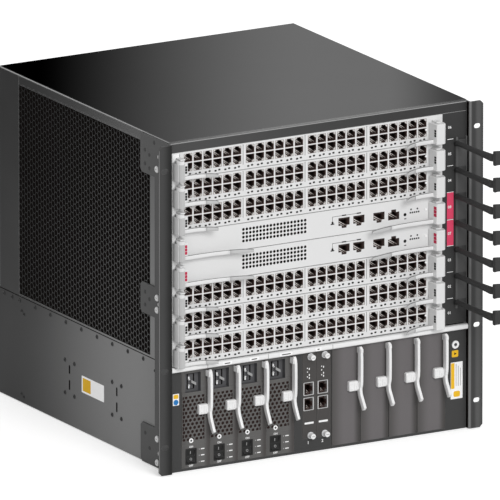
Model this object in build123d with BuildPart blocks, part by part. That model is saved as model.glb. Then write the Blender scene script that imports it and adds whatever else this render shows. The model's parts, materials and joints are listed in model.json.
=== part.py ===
"""Modular chassis switch: a ten-unit rack chassis with eight card slots over a row of power slots.

Frame: +X to the right, +Y to the rear, +Z up, origin at the middle of the underside.
All fronts lie on one front plane, and sizes named "out" are measured forward from it.
"""

import os

from build123d import *

# Chassis
body_d = 450.0
sheet = 1.5
cover_t = 1.8
sill_h = 3.2
power_h = 133.9
rail_h = 7.1
rail_out = 6.0
rail_round = 2.4
slot_pitch = 35.56
slot_count = 8
bezel_h = 14.9
bezel_t = 2.0
strip_w = 36.0
seam_rise = 1.2
rear_step = 6.0
joint_gap = 0.4
seat_gap = 0.2

# Rack ears, with slots on the standard rack grid
rack_unit = 44.45
ear_flange = 20.3
ear_t = 2.0
ear_out = 8.0
ear_web = 36.0
ear_bend = 2.5
ear_corner = 4.0
tab_reach = 37.0
tab_edges = ((0.4, 53.0), (200.0, 241.0), (387.5, 439.5))
slot_inset = 8.74
slot_l = 10.0
slot_w = 6.5
slot_rise = 5.95
slot_holes = ((0, 2), (3, 0), (9, 0))
hole_pitch = 15.875
screw_rows = (37.0, 28.0)
screw_places = (
    (0, 7.5), (1, 21.25), (0, 39.25),
    (0, 211.75), (1, 220.5), (0, 228.0),
    (0, 399.5), (1, 417.5),
)
screw_r = 4.5
screw_h = 1.5

# Cards
card_inset = 3.5
face_t = 2.0
board_t = 2.0
board_rise = 5.0
board_inset = 4.0
connector_w = 280.0
connector_h = 12.0
connector_d = 10.0
port_w = 11.4
port_h = 10.6
port_d = 12.0
port_pitch = 14.5
port_rows_pitch = 12.7
ports_across = 6
block_pitch = 91.97
block_count = 4
block_first = 60.0
block_rise = 20.6
block_rim = 3.0
housing_d = 16.0
notch_w = 5.6
notch_h = 2.4
service_ports = (255.4, 277.5, 307.5, 329.5)
service_rise = 15.6
grille_hole = 13.0
grille_pitch = 15.4
grille_across = 6
grille_x = 151.6
grille_rise = 19.4
control_slots = (3, 4)

# Ejector levers of the cards, on upright pins
lever_h = 27.0
barrel_r = 8.4
pin_r = 1.5
pin_gap = 0.08
pin_sides = 6
left_pivot_inset = 9.0
right_pivot_inset = 12.2
wedge_reach = 8.5
wedge_out = 9.2
line_wing = 51.0
control_wing = 103.0
wing_h = 5.6
wing_t = 3.2
wing_tip_out = 18.5
lug_t = 1.6
lug_r = 3.6

# Power modules, monitor boards and fillers
power_inset = 17.3
power_pitch = 41.8
power_count = 4
power_d = 300.0
inlet_x = 17.0
inlet_w = 23.3
inlet_h = 26.6
inlet_drop = 17.0
inlet_d = 7.0
socket_w = 11.4
socket_h = 20.6
socket_d = 12.0
vent_hole = 5.6
vent_pitch = 14.6
vent_across = 2
vent_rows = 3
vent_drop = 64.3
vent_d = 6.0
vent_x = 17.7
rocker_x = 14.0
rocker_rise = 15.1
rocker_w = 12.0
rocker_h = 16.6
rocker_gap = 0.8
rocker_depth = 3.6
rocker_d = 11.0
rocker_tilt = 8.0
rocker_pin_r = 1.2
rocker_heel = 6.4
rocker_dish = 2.0
board_post = 12.5
board_gap = 0.8
monitor_pitch = 21.2
monitor_count = 2
monitor_foot = 14.6
monitor_d = 150.0
monitor_port_x = 9.1
monitor_port_drops = (48.7, 69.1)
monitor_screw_x = 12.1
monitor_screw_low = 3.9
monitor_screw_high = 6.0
thumb_r = 3.6
thumb_out = 8.0
filler_pitch = 42.6
filler_count = 4
filler_d = 24.0
jack_margin = 31.4

# Lever and latch of the power modules and fillers, on level pins
power_lever_w = 3.8
power_lever_edge = 0.9
pivot_drop = 6.4
pivot_out = 6.2
pivot_r = 5.0
lever_drop = 78.0
lever_tip_out = 19.4
lever_t = 7.0
catch_w = 13.4
catch_h = 13.0
catch_drop = 53.5
catch_out = 5.4
catch_ramp = 2.0

# Side vent, cable comb, antistatic jack and rear
side_hole = 27.0
side_pitch = 66.0
side_vent_rear = 51.0
side_vent_front = 52.0
side_vent_edge = 8.0
comb_w = 17.0
comb_t = 3.0
comb_drop = 5.8
comb_window = 12.0
comb_rim = 1.5
finger_w = 4.0
finger_h = 4.4
finger_l = 97.0
cap_h = 19.5
cap_w = 8.0
cap_t = 7.0
tongue_l = 21.0
tongue_out = 5.0
tongue_t = 4.5
jack_inset = 16.6
jack_drop = 19.5
jack_r = 5.5
jack_bore = 2.0
jack_shank = 4.0
jack_l = 12.0
jack_lip = 1.2
backplane_y = 112.0
backplane_t = 4.0
ledge_lap = 2.0
fan_gap = 2.2
fan_edge = 3.0
fan_d = 80.0
fan_r = 56.0
fan_sides = 16
fan_rise = 76.0
fan_hub_r = 21.0
fan_hub_d = 26.0
fan_hub_sides = 8
fan_arms = 4
fan_arm_w = 5.0
fan_blades = 5
fan_blade_root = 3.0
fan_blade_w = 24.0
fan_blade_t = 2.0
fan_blade_tilt = 38.0
fan_tip_gap = 3.0
fan_blade_in = 16.5
handle_l = 96.0
handle_w = 12.0
handle_t = 4.0
handle_out = 26.0
handle_bend = 6.0
exhaust_w = 12.0
exhaust_h = 84.0
exhaust_pitch = 60.0

# Places that follow from the sizes above
power_row = power_count * power_pitch
monitor_row = monitor_count * monitor_pitch
filler_row = filler_count * filler_pitch
body_w = power_inset + power_row + board_post + monitor_row + board_gap + filler_row + jack_margin
side_x = body_w / 2
front = body_d / 2
cards_z = power_h + rail_h + 2 * joint_gap
seam_z = cards_z + seam_rise
jack_z = power_h - jack_drop
cards_top = cards_z + slot_count * slot_pitch
body_h = cards_top + joint_gap + bezel_h
card_x0 = -side_x + card_inset
card_x1 = side_x - strip_w - joint_gap
card_w = card_x1 - card_x0
card_mid = (card_x0 + card_x1) / 2
card_h = slot_pitch - joint_gap
wall_x0 = -side_x + sheet + seat_gap
wall_x1 = card_x1 + joint_gap
cage_t = 1.2
pan_rear = front + rear_step
module_z = sill_h + 0.3
module_h = power_h - 0.3 - module_z
power_x0 = -side_x + power_inset
board_x0 = power_x0 + power_row + board_post
filler_x0 = board_x0 + monitor_row + board_gap
jack_x0 = side_x - jack_margin


def front_plane(x=0.0, z=0.0, out=0.0):
    """Plane on the front of the chassis: x to the right, y up, z out towards the user."""
    return Plane(origin=(x, -front - out, z), x_dir=(1, 0, 0), z_dir=(0, -1, 0))


def side_plane(x):
    """Plane across the chassis at x: x forward from the front plane, y up, z to the left."""
    return Plane(origin=(x, -front, 0), x_dir=(0, -1, 0), z_dir=(-1, 0, 0))


def slot_z(slot):
    """Underside of a card's face, with slots counted from the bottom."""
    return cards_z + slot * slot_pitch + joint_gap / 2


def save(part, name):
    part.label = name
    export_step(part, f"parts/{name}.step")


os.makedirs("parts", exist_ok=True)

# --- Folded steel shell -----------------------------------------------------------------

pan_h = seam_z - seat_gap

with BuildPart() as lower_pan:
    with BuildSketch(front_plane(out=-sheet)):
        Rectangle(body_w, pan_h, align=(Align.CENTER, Align.MIN))
        with Locations((0, sheet)):
            Rectangle(body_w - 2 * sheet, pan_h, align=(Align.CENTER, Align.MIN), mode=Mode.SUBTRACT)
    extrude(amount=-(body_d - sheet + rear_step))
    chamfer(lower_pan.edges().filter_by(Axis.Y).group_by(Axis.Z)[0], sheet * 0.6)
save(lower_pan.part, "lower_pan")

panel_h = body_h - cover_t - seat_gap - seam_z
panel_d = body_d - bezel_t - seat_gap


def side_panel(name, hand, vented):
    """Upper side panel; the left one has a staggered field of six-sided air holes."""
    with BuildPart() as panel:
        with BuildSketch(side_plane(hand * side_x)):
            with Locations((-bezel_t - seat_gap, seam_z)):
                Rectangle(panel_d, panel_h, align=(Align.MAX, Align.MIN))
        extrude(amount=hand * sheet)
        if vented:
            vent_w = body_d - side_vent_rear - side_vent_front
            vent_h = panel_h - 2 * side_vent_edge
            row_pitch = side_pitch * 0.866
            across = int(vent_w // side_pitch)
            rows = int(vent_h // row_pitch)
            mid = -side_vent_front - vent_w / 2
            with BuildSketch(side_plane(hand * side_x)):
                for row in range(rows):
                    shift = side_pitch / 4 * (1 if row % 2 else -1)
                    rise = seam_z + panel_h / 2 + (row - (rows - 1) / 2) * row_pitch
                    with Locations((mid + shift, rise)):
                        with GridLocations(side_pitch, 1, across, 1):
                            RegularPolygon(side_hole, 6, major_radius=False, rotation=30)
            extrude(amount=2 * sheet, both=True, mode=Mode.SUBTRACT)
    save(panel.part, name)


side_panel("left_side_panel", -1, True)
side_panel("right_side_panel", 1, False)

with BuildPart() as top_cover:
    with BuildSketch(Plane.XY.offset(body_h)):
        Rectangle(body_w, body_d)
    extrude(amount=-cover_t)
    chamfer(top_cover.faces().sort_by(Axis.Z)[-1].edges(), cover_t * 0.5)
save(top_cover.part, "top_cover")

# The cage is one welded sheet part: a shelf, two walls, and a ledge under each card.
cage_h = body_h - cover_t - seat_gap - power_h - joint_gap
shelf_z = power_h + joint_gap
cage_start = face_t + joint_gap
cage_d = front + backplane_y + backplane_t - cage_start
board_d = front + backplane_y - face_t - seat_gap
ledges_z = [slot_z(slot) + board_rise - seat_gap for slot in range(slot_count)]

with BuildPart() as card_cage:
    with BuildSketch(front_plane(out=-cage_start)):
        with Locations((wall_x0, shelf_z)):
            Rectangle(-2 * wall_x0, cage_t, align=(Align.MIN, Align.MIN))
            Rectangle(cage_t, cage_h, align=(Align.MIN, Align.MIN))
        with Locations((wall_x1, shelf_z)):
            Rectangle(cage_t, cage_h, align=(Align.MIN, Align.MIN))
    extrude(amount=-cage_d)
    with BuildSketch(front_plane(out=-cage_start)):
        for z in ledges_z:
            with Locations((wall_x0, z)):
                ledge_w = card_x0 + board_inset + ledge_lap - wall_x0
                Rectangle(ledge_w, cage_t, align=(Align.MIN, Align.MAX))
            with Locations((wall_x1, z)):
                ledge_w = joint_gap + board_inset + ledge_lap
                Rectangle(ledge_w, cage_t, align=(Align.MAX, Align.MAX))
    extrude(amount=-(board_d - cage_start))
save(card_cage.part, "card_cage")

backplane_x = wall_x0 + cage_t + seat_gap
backplane_z = shelf_z + cage_t + seat_gap
with BuildPart() as backplane:
    with BuildSketch(front_plane(backplane_x, backplane_z, out=-front - backplane_y)):
        plane_w = wall_x1 - wall_x0 - cage_t - 2 * seat_gap
        Rectangle(plane_w, cage_h - cage_t - 2 * seat_gap, align=(Align.MIN, Align.MIN))
    extrude(amount=-backplane_t)
save(backplane.part, "backplane")

# --- Front frames -----------------------------------------------------------------------

with BuildPart() as front_bezel:
    with BuildSketch(front_plane()):
        with Locations((0, body_h - cover_t - seat_gap)):
            Rectangle(body_w, bezel_h - cover_t - seat_gap, align=(Align.CENTER, Align.MAX))
        with Locations((side_x, seam_z)):
            Rectangle(strip_w, cards_top + bezel_h / 2 - seam_z, align=(Align.MAX, Align.MIN))
    extrude(amount=-bezel_t)
save(front_bezel.part, "front_bezel")

corner = (Align.MIN, Align.MIN)
with BuildPart() as front_frame:
    with BuildSketch(front_plane()):
        with Locations((-side_x, 0)):
            Rectangle(body_w - jack_margin, power_h, align=corner)
        with Locations((power_x0 - seat_gap, sill_h)):
            Rectangle(power_row + 2 * seat_gap, power_h, align=corner, mode=Mode.SUBTRACT)
        with Locations((board_x0 - seat_gap, sill_h + monitor_foot)):
            Rectangle(monitor_row + 2 * seat_gap, power_h, align=corner, mode=Mode.SUBTRACT)
        with Locations((filler_x0 - seat_gap, sill_h)):
            Rectangle(filler_row + 2 * seat_gap, power_h, align=corner, mode=Mode.SUBTRACT)
    extrude(amount=-sheet)
save(front_frame.part, "front_frame")

with BuildPart() as jack_plate:
    with BuildSketch(front_plane()):
        with Locations((jack_x0 + seat_gap, 0)):
            Rectangle(jack_margin - seat_gap, power_h, align=corner)
        with Locations((side_x - jack_inset, jack_z)):
            RegularPolygon(jack_shank + seat_gap, 8, mode=Mode.SUBTRACT)
    extrude(amount=-sheet)
save(jack_plate.part, "jack_plate")

with BuildPart() as esd_jack:
    with BuildSketch(front_plane(side_x - jack_inset, jack_z)):
        RegularPolygon(jack_r, 12)
    extrude(amount=jack_lip)
    with BuildSketch(front_plane(side_x - jack_inset, jack_z)):
        RegularPolygon(jack_shank, 8)
    extrude(amount=-(jack_l - jack_lip))
    with BuildSketch(front_plane(side_x - jack_inset, jack_z, out=jack_lip)):
        Circle(jack_bore)
    extrude(amount=-jack_l, mode=Mode.SUBTRACT)
save(esd_jack.part, "esd_jack")

# The label rail is a rounded bar with a tongue that meets the front edge of the cage's shelf.
with BuildPart() as label_rail:
    with BuildSketch(side_plane(side_x - joint_gap)):
        with Locations((0, shelf_z)):
            Rectangle(rail_out, rail_h, align=(Align.MIN, Align.MIN))
    extrude(amount=body_w - 2 * joint_gap)
    rail_nose = label_rail.faces().sort_by(Axis.Y)[0].edges().filter_by(Axis.X)
    fillet(rail_nose, rail_round)
    with BuildSketch(side_plane(-wall_x0)):
        with Locations((0, shelf_z)):
            Rectangle(cage_start - seat_gap, cage_t, align=(Align.MAX, Align.MIN))
    extrude(amount=-2 * wall_x0)
save(label_rail.part, "label_rail")

# --- Rack ears --------------------------------------------------------------------------

def rack_ear(name, hand):
    """Folded angle: a slotted flange for the rack post, and a web with three screwed tabs."""
    web_rear = -front + ear_web
    with BuildPart() as ear:
        with BuildSketch(Plane.XY.offset(tab_edges[0][0])):
            with BuildLine():
                FilletPolyline(
                    (hand * (side_x + ear_flange), -front - ear_out),
                    (hand * side_x, -front - ear_out),
                    (hand * side_x, web_rear + tab_reach),
                    radius=ear_bend,
                )
                offset(amount=ear_t, side=Side.LEFT if hand < 0 else Side.RIGHT)
            make_face()
        extrude(amount=tab_edges[-1][1] - tab_edges[0][0])
        with BuildSketch(side_plane(hand * side_x)):
            for below, above in zip(tab_edges, tab_edges[1:]):
                with Locations((-ear_web, (below[1] + above[0]) / 2)):
                    Rectangle(tab_reach + 1, above[0] - below[1], align=(Align.MAX, Align.CENTER))
        extrude(amount=body_w / 4, both=True, mode=Mode.SUBTRACT)
        tab_corners = ear.edges().filter_by(Axis.X).group_by(Axis.Y)[-1]
        chamfer(tab_corners, ear_corner)
        flange_corners = ear.edges().filter_by(Axis.Y).group_by(Axis.X)[0 if hand < 0 else -1]
        chamfer(flange_corners, ear_corner)
        with BuildSketch(front_plane(hand * (side_x + ear_flange - slot_inset), slot_rise)):
            with Locations(*[(0, rack_unit * unit + hole_pitch * hole) for unit, hole in slot_holes]):
                SlotOverall(slot_l, slot_w)
        extrude(amount=ear_out + 1, both=True, mode=Mode.SUBTRACT)
    save(ear.part, name)


rack_ear("left_ear", -1)
rack_ear("right_ear", 1)

with BuildPart() as ear_screws:
    for hand in (-1, 1):
        with BuildSketch(side_plane(hand * (side_x + ear_t))):
            with Locations(*[(-screw_rows[row], z) for row, z in screw_places]):
                RegularPolygon(screw_r, 6)
        extrude(amount=-hand * screw_h)
save(ear_screws.part, "ear_screws")

# --- Cable comb -------------------------------------------------------------------------

comb_x0 = side_x - joint_gap - comb_w
fingers_z = [cards_z + slot * slot_pitch - comb_drop for slot in range(1, slot_count)]
cap_out = comb_t + finger_l

with BuildPart() as cable_comb:
    with BuildSketch(front_plane(comb_x0)):
        with Locations((0, (fingers_z[0] + fingers_z[-1]) / 2)):
            Rectangle(comb_w, fingers_z[-1] - fingers_z[0] + comb_w, align=(Align.MIN, Align.CENTER))
        with Locations(*[(comb_w - comb_rim, z + slot_pitch / 2) for z in fingers_z[:-1]]):
            window_h = slot_pitch - 2 * finger_h
            Rectangle(comb_window, window_h, align=(Align.MAX, Align.CENTER), mode=Mode.SUBTRACT)
    extrude(amount=comb_t)
    with BuildSketch(*[front_plane(comb_x0, z, out=comb_t) for z in fingers_z]):
        Rectangle(finger_w, finger_h, align=(Align.MIN, Align.CENTER))
    extrude(amount=finger_l)
    with BuildSketch(*[Plane.XY.offset(z - cap_h / 2) for z in fingers_z]):
        with BuildLine():
            y = -front - cap_out
            x = comb_x0 - (cap_w - finger_w) / 2
            Polyline(
                (x, y),
                (x, y - cap_t),
                (x + cap_w, y - cap_t),
                (x + cap_w + tongue_l, y - cap_t - tongue_out),
                (x + cap_w + tongue_l, y - cap_t - tongue_out + tongue_t),
                (x + cap_w, y),
                close=True,
            )
        make_face()
    extrude(amount=cap_h)
save(cable_comb.part, "cable_comb")

# --- Cards ----------------------------------------------------------------------------------

barrel_out = barrel_r + 0.3
left_pivot_x = card_x0 + left_pivot_inset
right_pivot_x = card_x1 - right_pivot_inset
lug_rise = seat_gap + lever_h + joint_gap


def card_body(z):
    """Face, board, rear connector and the two lever lugs with their pins."""
    with BuildPart() as body:
        with BuildSketch(front_plane(card_x0, z)):
            Rectangle(card_w, card_h, align=(Align.MIN, Align.MIN))
        extrude(amount=-face_t)
        with BuildSketch(front_plane(card_x0 + board_inset, z + board_rise, out=-face_t)):
            Rectangle(card_w - 2 * board_inset, board_t, align=(Align.MIN, Align.MIN))
        extrude(amount=-board_d)
        with BuildSketch(front_plane(card_mid, z + board_rise, out=connector_d - face_t - board_d)):
            Rectangle(connector_w, connector_h, align=(Align.CENTER, Align.MIN))
        extrude(amount=-connector_d)
        with BuildSketch(Plane.XY.offset(z + lug_rise)):
            with Locations((left_pivot_x, -front), (right_pivot_x, -front)):
                Rectangle(2 * lug_r, barrel_out + lug_r, align=(Align.CENTER, Align.MAX))
        extrude(amount=lug_t)
        with BuildSketch(Plane.XY.offset(z + lug_rise)):
            with Locations((left_pivot_x, -front - barrel_out), (right_pivot_x, -front - barrel_out)):
                RegularPolygon(pin_r, pin_sides)
        extrude(amount=joint_gap - lug_rise)
    return body.part


def port_outline(turn):
    """Opening of one port, turned about its middle: a plug's outline with the latch's notch below."""
    with BuildSketch() as outline:
        with Locations((0, notch_h / 2)):
            Rectangle(port_w, port_h - notch_h)
        with Locations((0, (notch_h - port_h) / 2)):
            Rectangle(notch_w, notch_h)
    return outline.sketch.rotate(Axis.Z, turn)


def line_card(name, slot):
    """Card with blocks of two rows of ports."""
    z = slot_z(slot)
    body = card_body(z)
    blocks = [card_x0 + block_first + block * block_pitch for block in range(block_count)]
    block_w = ports_across * port_pitch + block_rim
    block_h = port_rows_pitch + port_h + block_rim
    with BuildPart() as card:
        add(body)
        with BuildSketch(front_plane(z=z + block_rise, out=-face_t)):
            with Locations(*[(x, 0) for x in blocks]):
                Rectangle(block_w, block_h)
        extrude(amount=face_t - housing_d)
        with BuildSketch(front_plane(z=z + block_rise)):
            with Locations(*[(x, 0) for x in blocks]):
                with GridLocations(port_pitch, port_rows_pitch, ports_across, 2):
                    Rectangle(port_w, port_h)
        extrude(amount=-port_d, mode=Mode.SUBTRACT)
    save(card.part, name)


def control_card(name, slot):
    """Card with an air grille and four service ports."""
    z = slot_z(slot)
    body = card_body(z)
    outlines = [port_outline(turn) for turn in (0, 0, 0, 180)]
    with BuildPart() as card:
        add(body)
        with BuildSketch(front_plane(card_x0, z, out=-face_t)):
            with Locations(*[(x, service_rise) for x in service_ports]):
                Rectangle(port_w + block_rim, port_h + block_rim)
        extrude(amount=face_t - housing_d)
        with BuildSketch(front_plane(card_x0, z)):
            for x, outline in zip(service_ports, outlines):
                with Locations((x, service_rise)):
                    add(outline)
        extrude(amount=-port_d, mode=Mode.SUBTRACT)
        with BuildSketch(front_plane(card_x0, z)):
            with Locations((grille_x, grille_rise)):
                with GridLocations(grille_pitch, 1, grille_across, 1):
                    RegularPolygon(grille_hole / 2, 6, major_radius=False)
        extrude(amount=-face_t, mode=Mode.SUBTRACT)
    save(card.part, name)


def card_lever(name, slot, hand, wing):
    """Ejector lever: an eight-sided barrel round the pin, a wedge, and a long flared wing."""
    pivot_x = left_pivot_x if hand < 0 else right_pivot_x
    seat = Plane(
        origin=(pivot_x, -front - barrel_out, slot_z(slot) + seat_gap),
        x_dir=(-hand, 0, 0),
        z_dir=(0, 0, hand),
    )
    flat = barrel_r * 0.92
    tip = wing_tip_out - barrel_out
    with BuildPart() as lever:
        with BuildSketch(seat):
            RegularPolygon(barrel_r, 8, rotation=22.5)
            with BuildLine():
                Polyline(
                    (0, -flat),
                    (wedge_reach, -flat),
                    (wedge_reach, wedge_out - barrel_out),
                    (wedge_reach * 0.4, flat),
                    (0, flat),
                    close=True,
                )
            make_face()
        extrude(amount=hand * lever_h)
        with BuildSketch(seat):
            with BuildLine():
                Polyline(
                    (0, wing_t),
                    (wing * 0.5, wing_t / 2),
                    (wing, tip),
                    (wing - 1, tip - wing_t),
                    (wing * 0.5, -wing_t / 2),
                    (0, -wing_t),
                    close=True,
                )
            make_face()
        extrude(amount=hand * wing_h)
        with BuildSketch(seat):
            RegularPolygon(pin_r + pin_gap, pin_sides, major_radius=False)
        extrude(amount=hand * lever_h, mode=Mode.SUBTRACT)
    save(lever.part, name)


# Cards from the bottom slot up: the two control cards sit in the middle.
for slot in range(slot_count):
    if slot in control_slots:
        label = f"control_card_{control_slots.index(slot) + 1}"
        wing = control_wing
        control_card(label, slot)
    else:
        label = f"line_card_{slot + 1 - sum(taken < slot for taken in control_slots)}"
        wing = line_wing
        line_card(label, slot)
    card_lever(f"{label}_left_lever", slot, -1, wing)
    card_lever(f"{label}_right_lever", slot, 1, wing)

# --- Power row --------------------------------------------------------------------------

pivot_z = power_h - pivot_drop


def lever_x(slot_x, pitch):
    """Left face of the lever at the right edge of a power slot."""
    return slot_x + pitch - power_lever_edge - power_lever_w


def power_lever(x):
    """Lever on a level pin, bowed in at the catch and flared at the tip."""
    tip = lever_tip_out - pivot_out
    with BuildPart() as lever:
        with BuildSketch(side_plane(x)):
            with Locations((pivot_out, pivot_z)):
                RegularPolygon(pivot_r, 8, rotation=22.5)
        extrude(amount=-power_lever_w)
        with BuildSketch(side_plane(x)):
            with BuildLine(Plane.XY.move(Location((pivot_out, pivot_z)))):
                Polyline(
                    (-lever_t / 2, 0),
                    (-lever_t / 2, -lever_drop * 0.75),
                    (tip - lever_t, -lever_drop * 0.97),
                    (tip - lever_t / 2, -lever_drop),
                    (tip, -lever_drop * 0.95),
                    (lever_t / 2, -lever_drop * 0.75),
                    (0, -lever_drop * 0.62),
                    (0, -lever_drop * 0.54),
                    (lever_t / 2, -lever_drop * 0.46),
                    (lever_t / 2, 0),
                    close=True,
                )
            make_face()
        extrude(amount=-power_lever_w)
    return lever.part


def catch(x):
    """Ramped catch whose right face is at x, beside the lever."""
    with BuildPart() as block:
        with BuildSketch(side_plane(x)):
            with BuildLine(Plane.XY.move(Location((0, power_h - catch_drop)))):
                Polyline(
                    (0, catch_h / 2),
                    (catch_out, catch_h / 2 - catch_ramp),
                    (catch_out, catch_ramp - catch_h / 2),
                    (0, -catch_h / 2),
                    close=True,
                )
            make_face()
        extrude(amount=catch_w)
    return block.part


def power_module(name, x):
    """Sealed power supply: inlet, air holes, switch pocket with its pin, catch and lever lug."""
    beside = lever_x(x, power_pitch) - seat_gap
    block = catch(beside)
    rocker_z = module_z + rocker_rise
    with BuildPart() as module:
        with BuildSketch(front_plane(x + joint_gap / 2, module_z)):
            Rectangle(power_pitch - joint_gap, module_h, align=(Align.MIN, Align.MIN))
        extrude(amount=-power_d)
        with BuildSketch(front_plane(x + inlet_x, power_h - inlet_drop)):
            Rectangle(inlet_w, inlet_h)
        extrude(amount=-inlet_d, mode=Mode.SUBTRACT)
        with BuildSketch(front_plane(x + inlet_x, power_h - inlet_drop, out=-inlet_d)):
            Rectangle(socket_w, socket_h)
        extrude(amount=-socket_d, mode=Mode.SUBTRACT)
        with BuildSketch(front_plane(x + vent_x, power_h - vent_drop)):
            for row in range(vent_rows):
                shift = vent_pitch / 4 * (1 if row % 2 else -1)
                with Locations((shift, (row - (vent_rows - 1) / 2) * vent_pitch)):
                    with GridLocations(vent_pitch, 1, vent_across, 1):
                        RegularPolygon(vent_hole, 6, rotation=30)
        extrude(amount=-vent_d, mode=Mode.SUBTRACT)
        with BuildSketch(front_plane(x + rocker_x, rocker_z)):
            Rectangle(rocker_w + 2 * rocker_gap, rocker_h + 2 * rocker_gap)
        extrude(amount=-rocker_d, mode=Mode.SUBTRACT)
        with BuildSketch(side_plane(x + rocker_x)):
            with Locations((-rocker_depth, rocker_z)):
                RegularPolygon(rocker_pin_r, pin_sides)
        extrude(amount=rocker_w / 2 + rocker_gap + 1, both=True)
        add(block)
        with BuildSketch(side_plane(beside)):
            with Locations((0, pivot_z)):
                Rectangle(pivot_out + lug_r, 2 * lug_r, align=(Align.MIN, Align.CENTER))
        extrude(amount=lug_t)
        with BuildSketch(side_plane(beside)):
            with Locations((pivot_out, pivot_z)):
                RegularPolygon(pin_r, pin_sides)
        extrude(amount=-(power_lever_w + seat_gap))
    save(module.part, name)


def swing_lever(name, x):
    """The power lever bored for its pin."""
    solid = power_lever(lever_x(x, power_pitch))
    with BuildPart() as lever:
        add(solid)
        with BuildSketch(side_plane(lever_x(x, power_pitch))):
            with Locations((pivot_out, pivot_z)):
                RegularPolygon(pin_r + pin_gap, pin_sides, major_radius=False)
        extrude(amount=-power_lever_w, mode=Mode.SUBTRACT)
    save(lever.part, name)


def rocker_switch(name, x):
    """Hollow-faced rocker, tilted to on."""
    hinge = Plane(
        origin=(x + rocker_x + rocker_w / 2, -front + rocker_depth, module_z + rocker_rise),
        x_dir=Vector(0, -1, 0).rotate(Axis.X, -rocker_tilt),
        z_dir=(-1, 0, 0),
    )
    with BuildPart() as rocker:
        with BuildSketch(hinge):
            with BuildLine():
                Polyline(
                    (-rocker_heel, rocker_h * 0.18),
                    (0, rocker_h / 2 - 0.4),
                    (rocker_depth, rocker_h / 2),
                    (rocker_depth - rocker_dish, 0),
                    (rocker_depth, -rocker_h / 2),
                    (0, 0.4 - rocker_h / 2),
                    (-rocker_heel, -rocker_h * 0.18),
                    close=True,
                )
            make_face()
            RegularPolygon(rocker_pin_r + pin_gap, pin_sides, major_radius=False, mode=Mode.SUBTRACT)
        extrude(amount=rocker_w)
    save(rocker.part, name)


for bay in range(power_count):
    bay_x = power_x0 + bay * power_pitch
    power_module(f"power_module_{bay + 1}", bay_x)
    swing_lever(f"power_module_{bay + 1}_lever", bay_x)
    rocker_switch(f"power_module_{bay + 1}_rocker", bay_x)


def monitor_board(name, x):
    """Narrow upright board with two ports and two captive thumbscrews."""
    z = sill_h + monitor_foot + 0.3
    face_h = module_z + module_h - z
    ports = [(0, face_h - drop) for drop in monitor_port_drops]
    screws = [(0, monitor_screw_low), (0, face_h - monitor_screw_high)]
    outline = port_outline(90)
    with BuildPart() as board:
        with BuildSketch(front_plane(x + joint_gap / 2, z)):
            Rectangle(monitor_pitch - joint_gap, face_h, align=(Align.MIN, Align.MIN))
        extrude(amount=-face_t)
        with BuildSketch(front_plane(x + board_t, z + 1, out=-face_t)):
            Rectangle(board_t, face_h - 2, align=(Align.MIN, Align.MIN))
        extrude(amount=-monitor_d)
        with BuildSketch(front_plane(x + monitor_port_x, z, out=-face_t)):
            with Locations(*ports):
                Rectangle(port_h + block_rim, port_w + block_rim)
        extrude(amount=face_t - housing_d)
        with BuildSketch(front_plane(x + monitor_port_x, z)):
            with Locations(*ports):
                add(outline)
        extrude(amount=-port_d, mode=Mode.SUBTRACT)
        with BuildSketch(front_plane(x + monitor_screw_x, z)):
            with Locations(*screws):
                RegularPolygon(thumb_r, 8)
        extrude(amount=thumb_out)
    save(board.part, name)


for bay in range(monitor_count):
    monitor_board(f"monitor_board_{bay + 1}", board_x0 + bay * monitor_pitch)


def filler_module(name, x):
    """Empty-slot cover: a folded face with two side flanges, a catch and a fixed lever."""
    beside = lever_x(x, filler_pitch)
    block = catch(beside)
    lever = power_lever(beside)
    with BuildPart() as filler:
        with BuildSketch(front_plane(x + joint_gap / 2, module_z)):
            Rectangle(filler_pitch - joint_gap, module_h, align=(Align.MIN, Align.MIN))
        extrude(amount=-filler_d)
        with BuildSketch(front_plane(x + filler_pitch / 2, module_z, out=-face_t)):
            inner_w = filler_pitch - joint_gap - 2 * sheet
            Rectangle(inner_w, module_h, align=(Align.CENTER, Align.MIN))
        extrude(amount=-filler_d, mode=Mode.SUBTRACT)
        add(block)
        add(lever)
        with BuildSketch(side_plane(beside)):
            with Locations((0, pivot_z)):
                Rectangle(pivot_out, 2 * lug_r, align=(Align.MIN, Align.CENTER))
        extrude(amount=-power_lever_w)
    save(filler.part, name)


for bay in range(filler_count):
    filler_module(f"filler_module_{bay + 1}", filler_x0 + bay * filler_pitch)

# --- Rear -------------------------------------------------------------------------------

rear_w = body_w - 2 * (sheet + seat_gap)
rear_top = body_h - cover_t - seat_gap
step_z = seam_z - seat_gap
fan_w = rear_w / 2 - 2 * fan_gap
fan_z = seam_z + fan_edge
fan_h = rear_top - fan_edge - fan_z
fan_x = rear_w / 4


def rear_plane(out=0.0):
    """Plane on the rear of the side panels: x to the right, y up, z forward into the chassis."""
    return front_plane(out=-body_d - out)


with BuildPart() as rear_frame:
    with BuildSketch(rear_plane()):
        with Locations((0, step_z - sheet)):
            Rectangle(rear_w, rear_top - step_z + sheet, align=(Align.CENTER, Align.MIN))
        with Locations((-fan_x, fan_z + fan_h / 2), (fan_x, fan_z + fan_h / 2)):
            Rectangle(fan_w + 2 * joint_gap, fan_h + 2 * joint_gap, mode=Mode.SUBTRACT)
    extrude(amount=sheet)
    with BuildSketch(rear_plane(out=rear_step)):
        with Locations((0, step_z)):
            Rectangle(rear_w, sheet, align=(Align.CENTER, Align.MAX))
    extrude(amount=rear_step)
    with BuildSketch(rear_plane(out=rear_step)):
        with Locations((0, sheet + seat_gap)):
            Rectangle(rear_w, step_z - sheet - seat_gap, align=(Align.CENTER, Align.MIN))
        with Locations((0, step_z / 2)):
            with GridLocations(exhaust_pitch, 1, int(rear_w // exhaust_pitch) - 1, 1):
                Rectangle(exhaust_w, exhaust_h, mode=Mode.SUBTRACT)
    extrude(amount=sheet)
save(rear_frame.part, "rear_frame")


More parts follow.
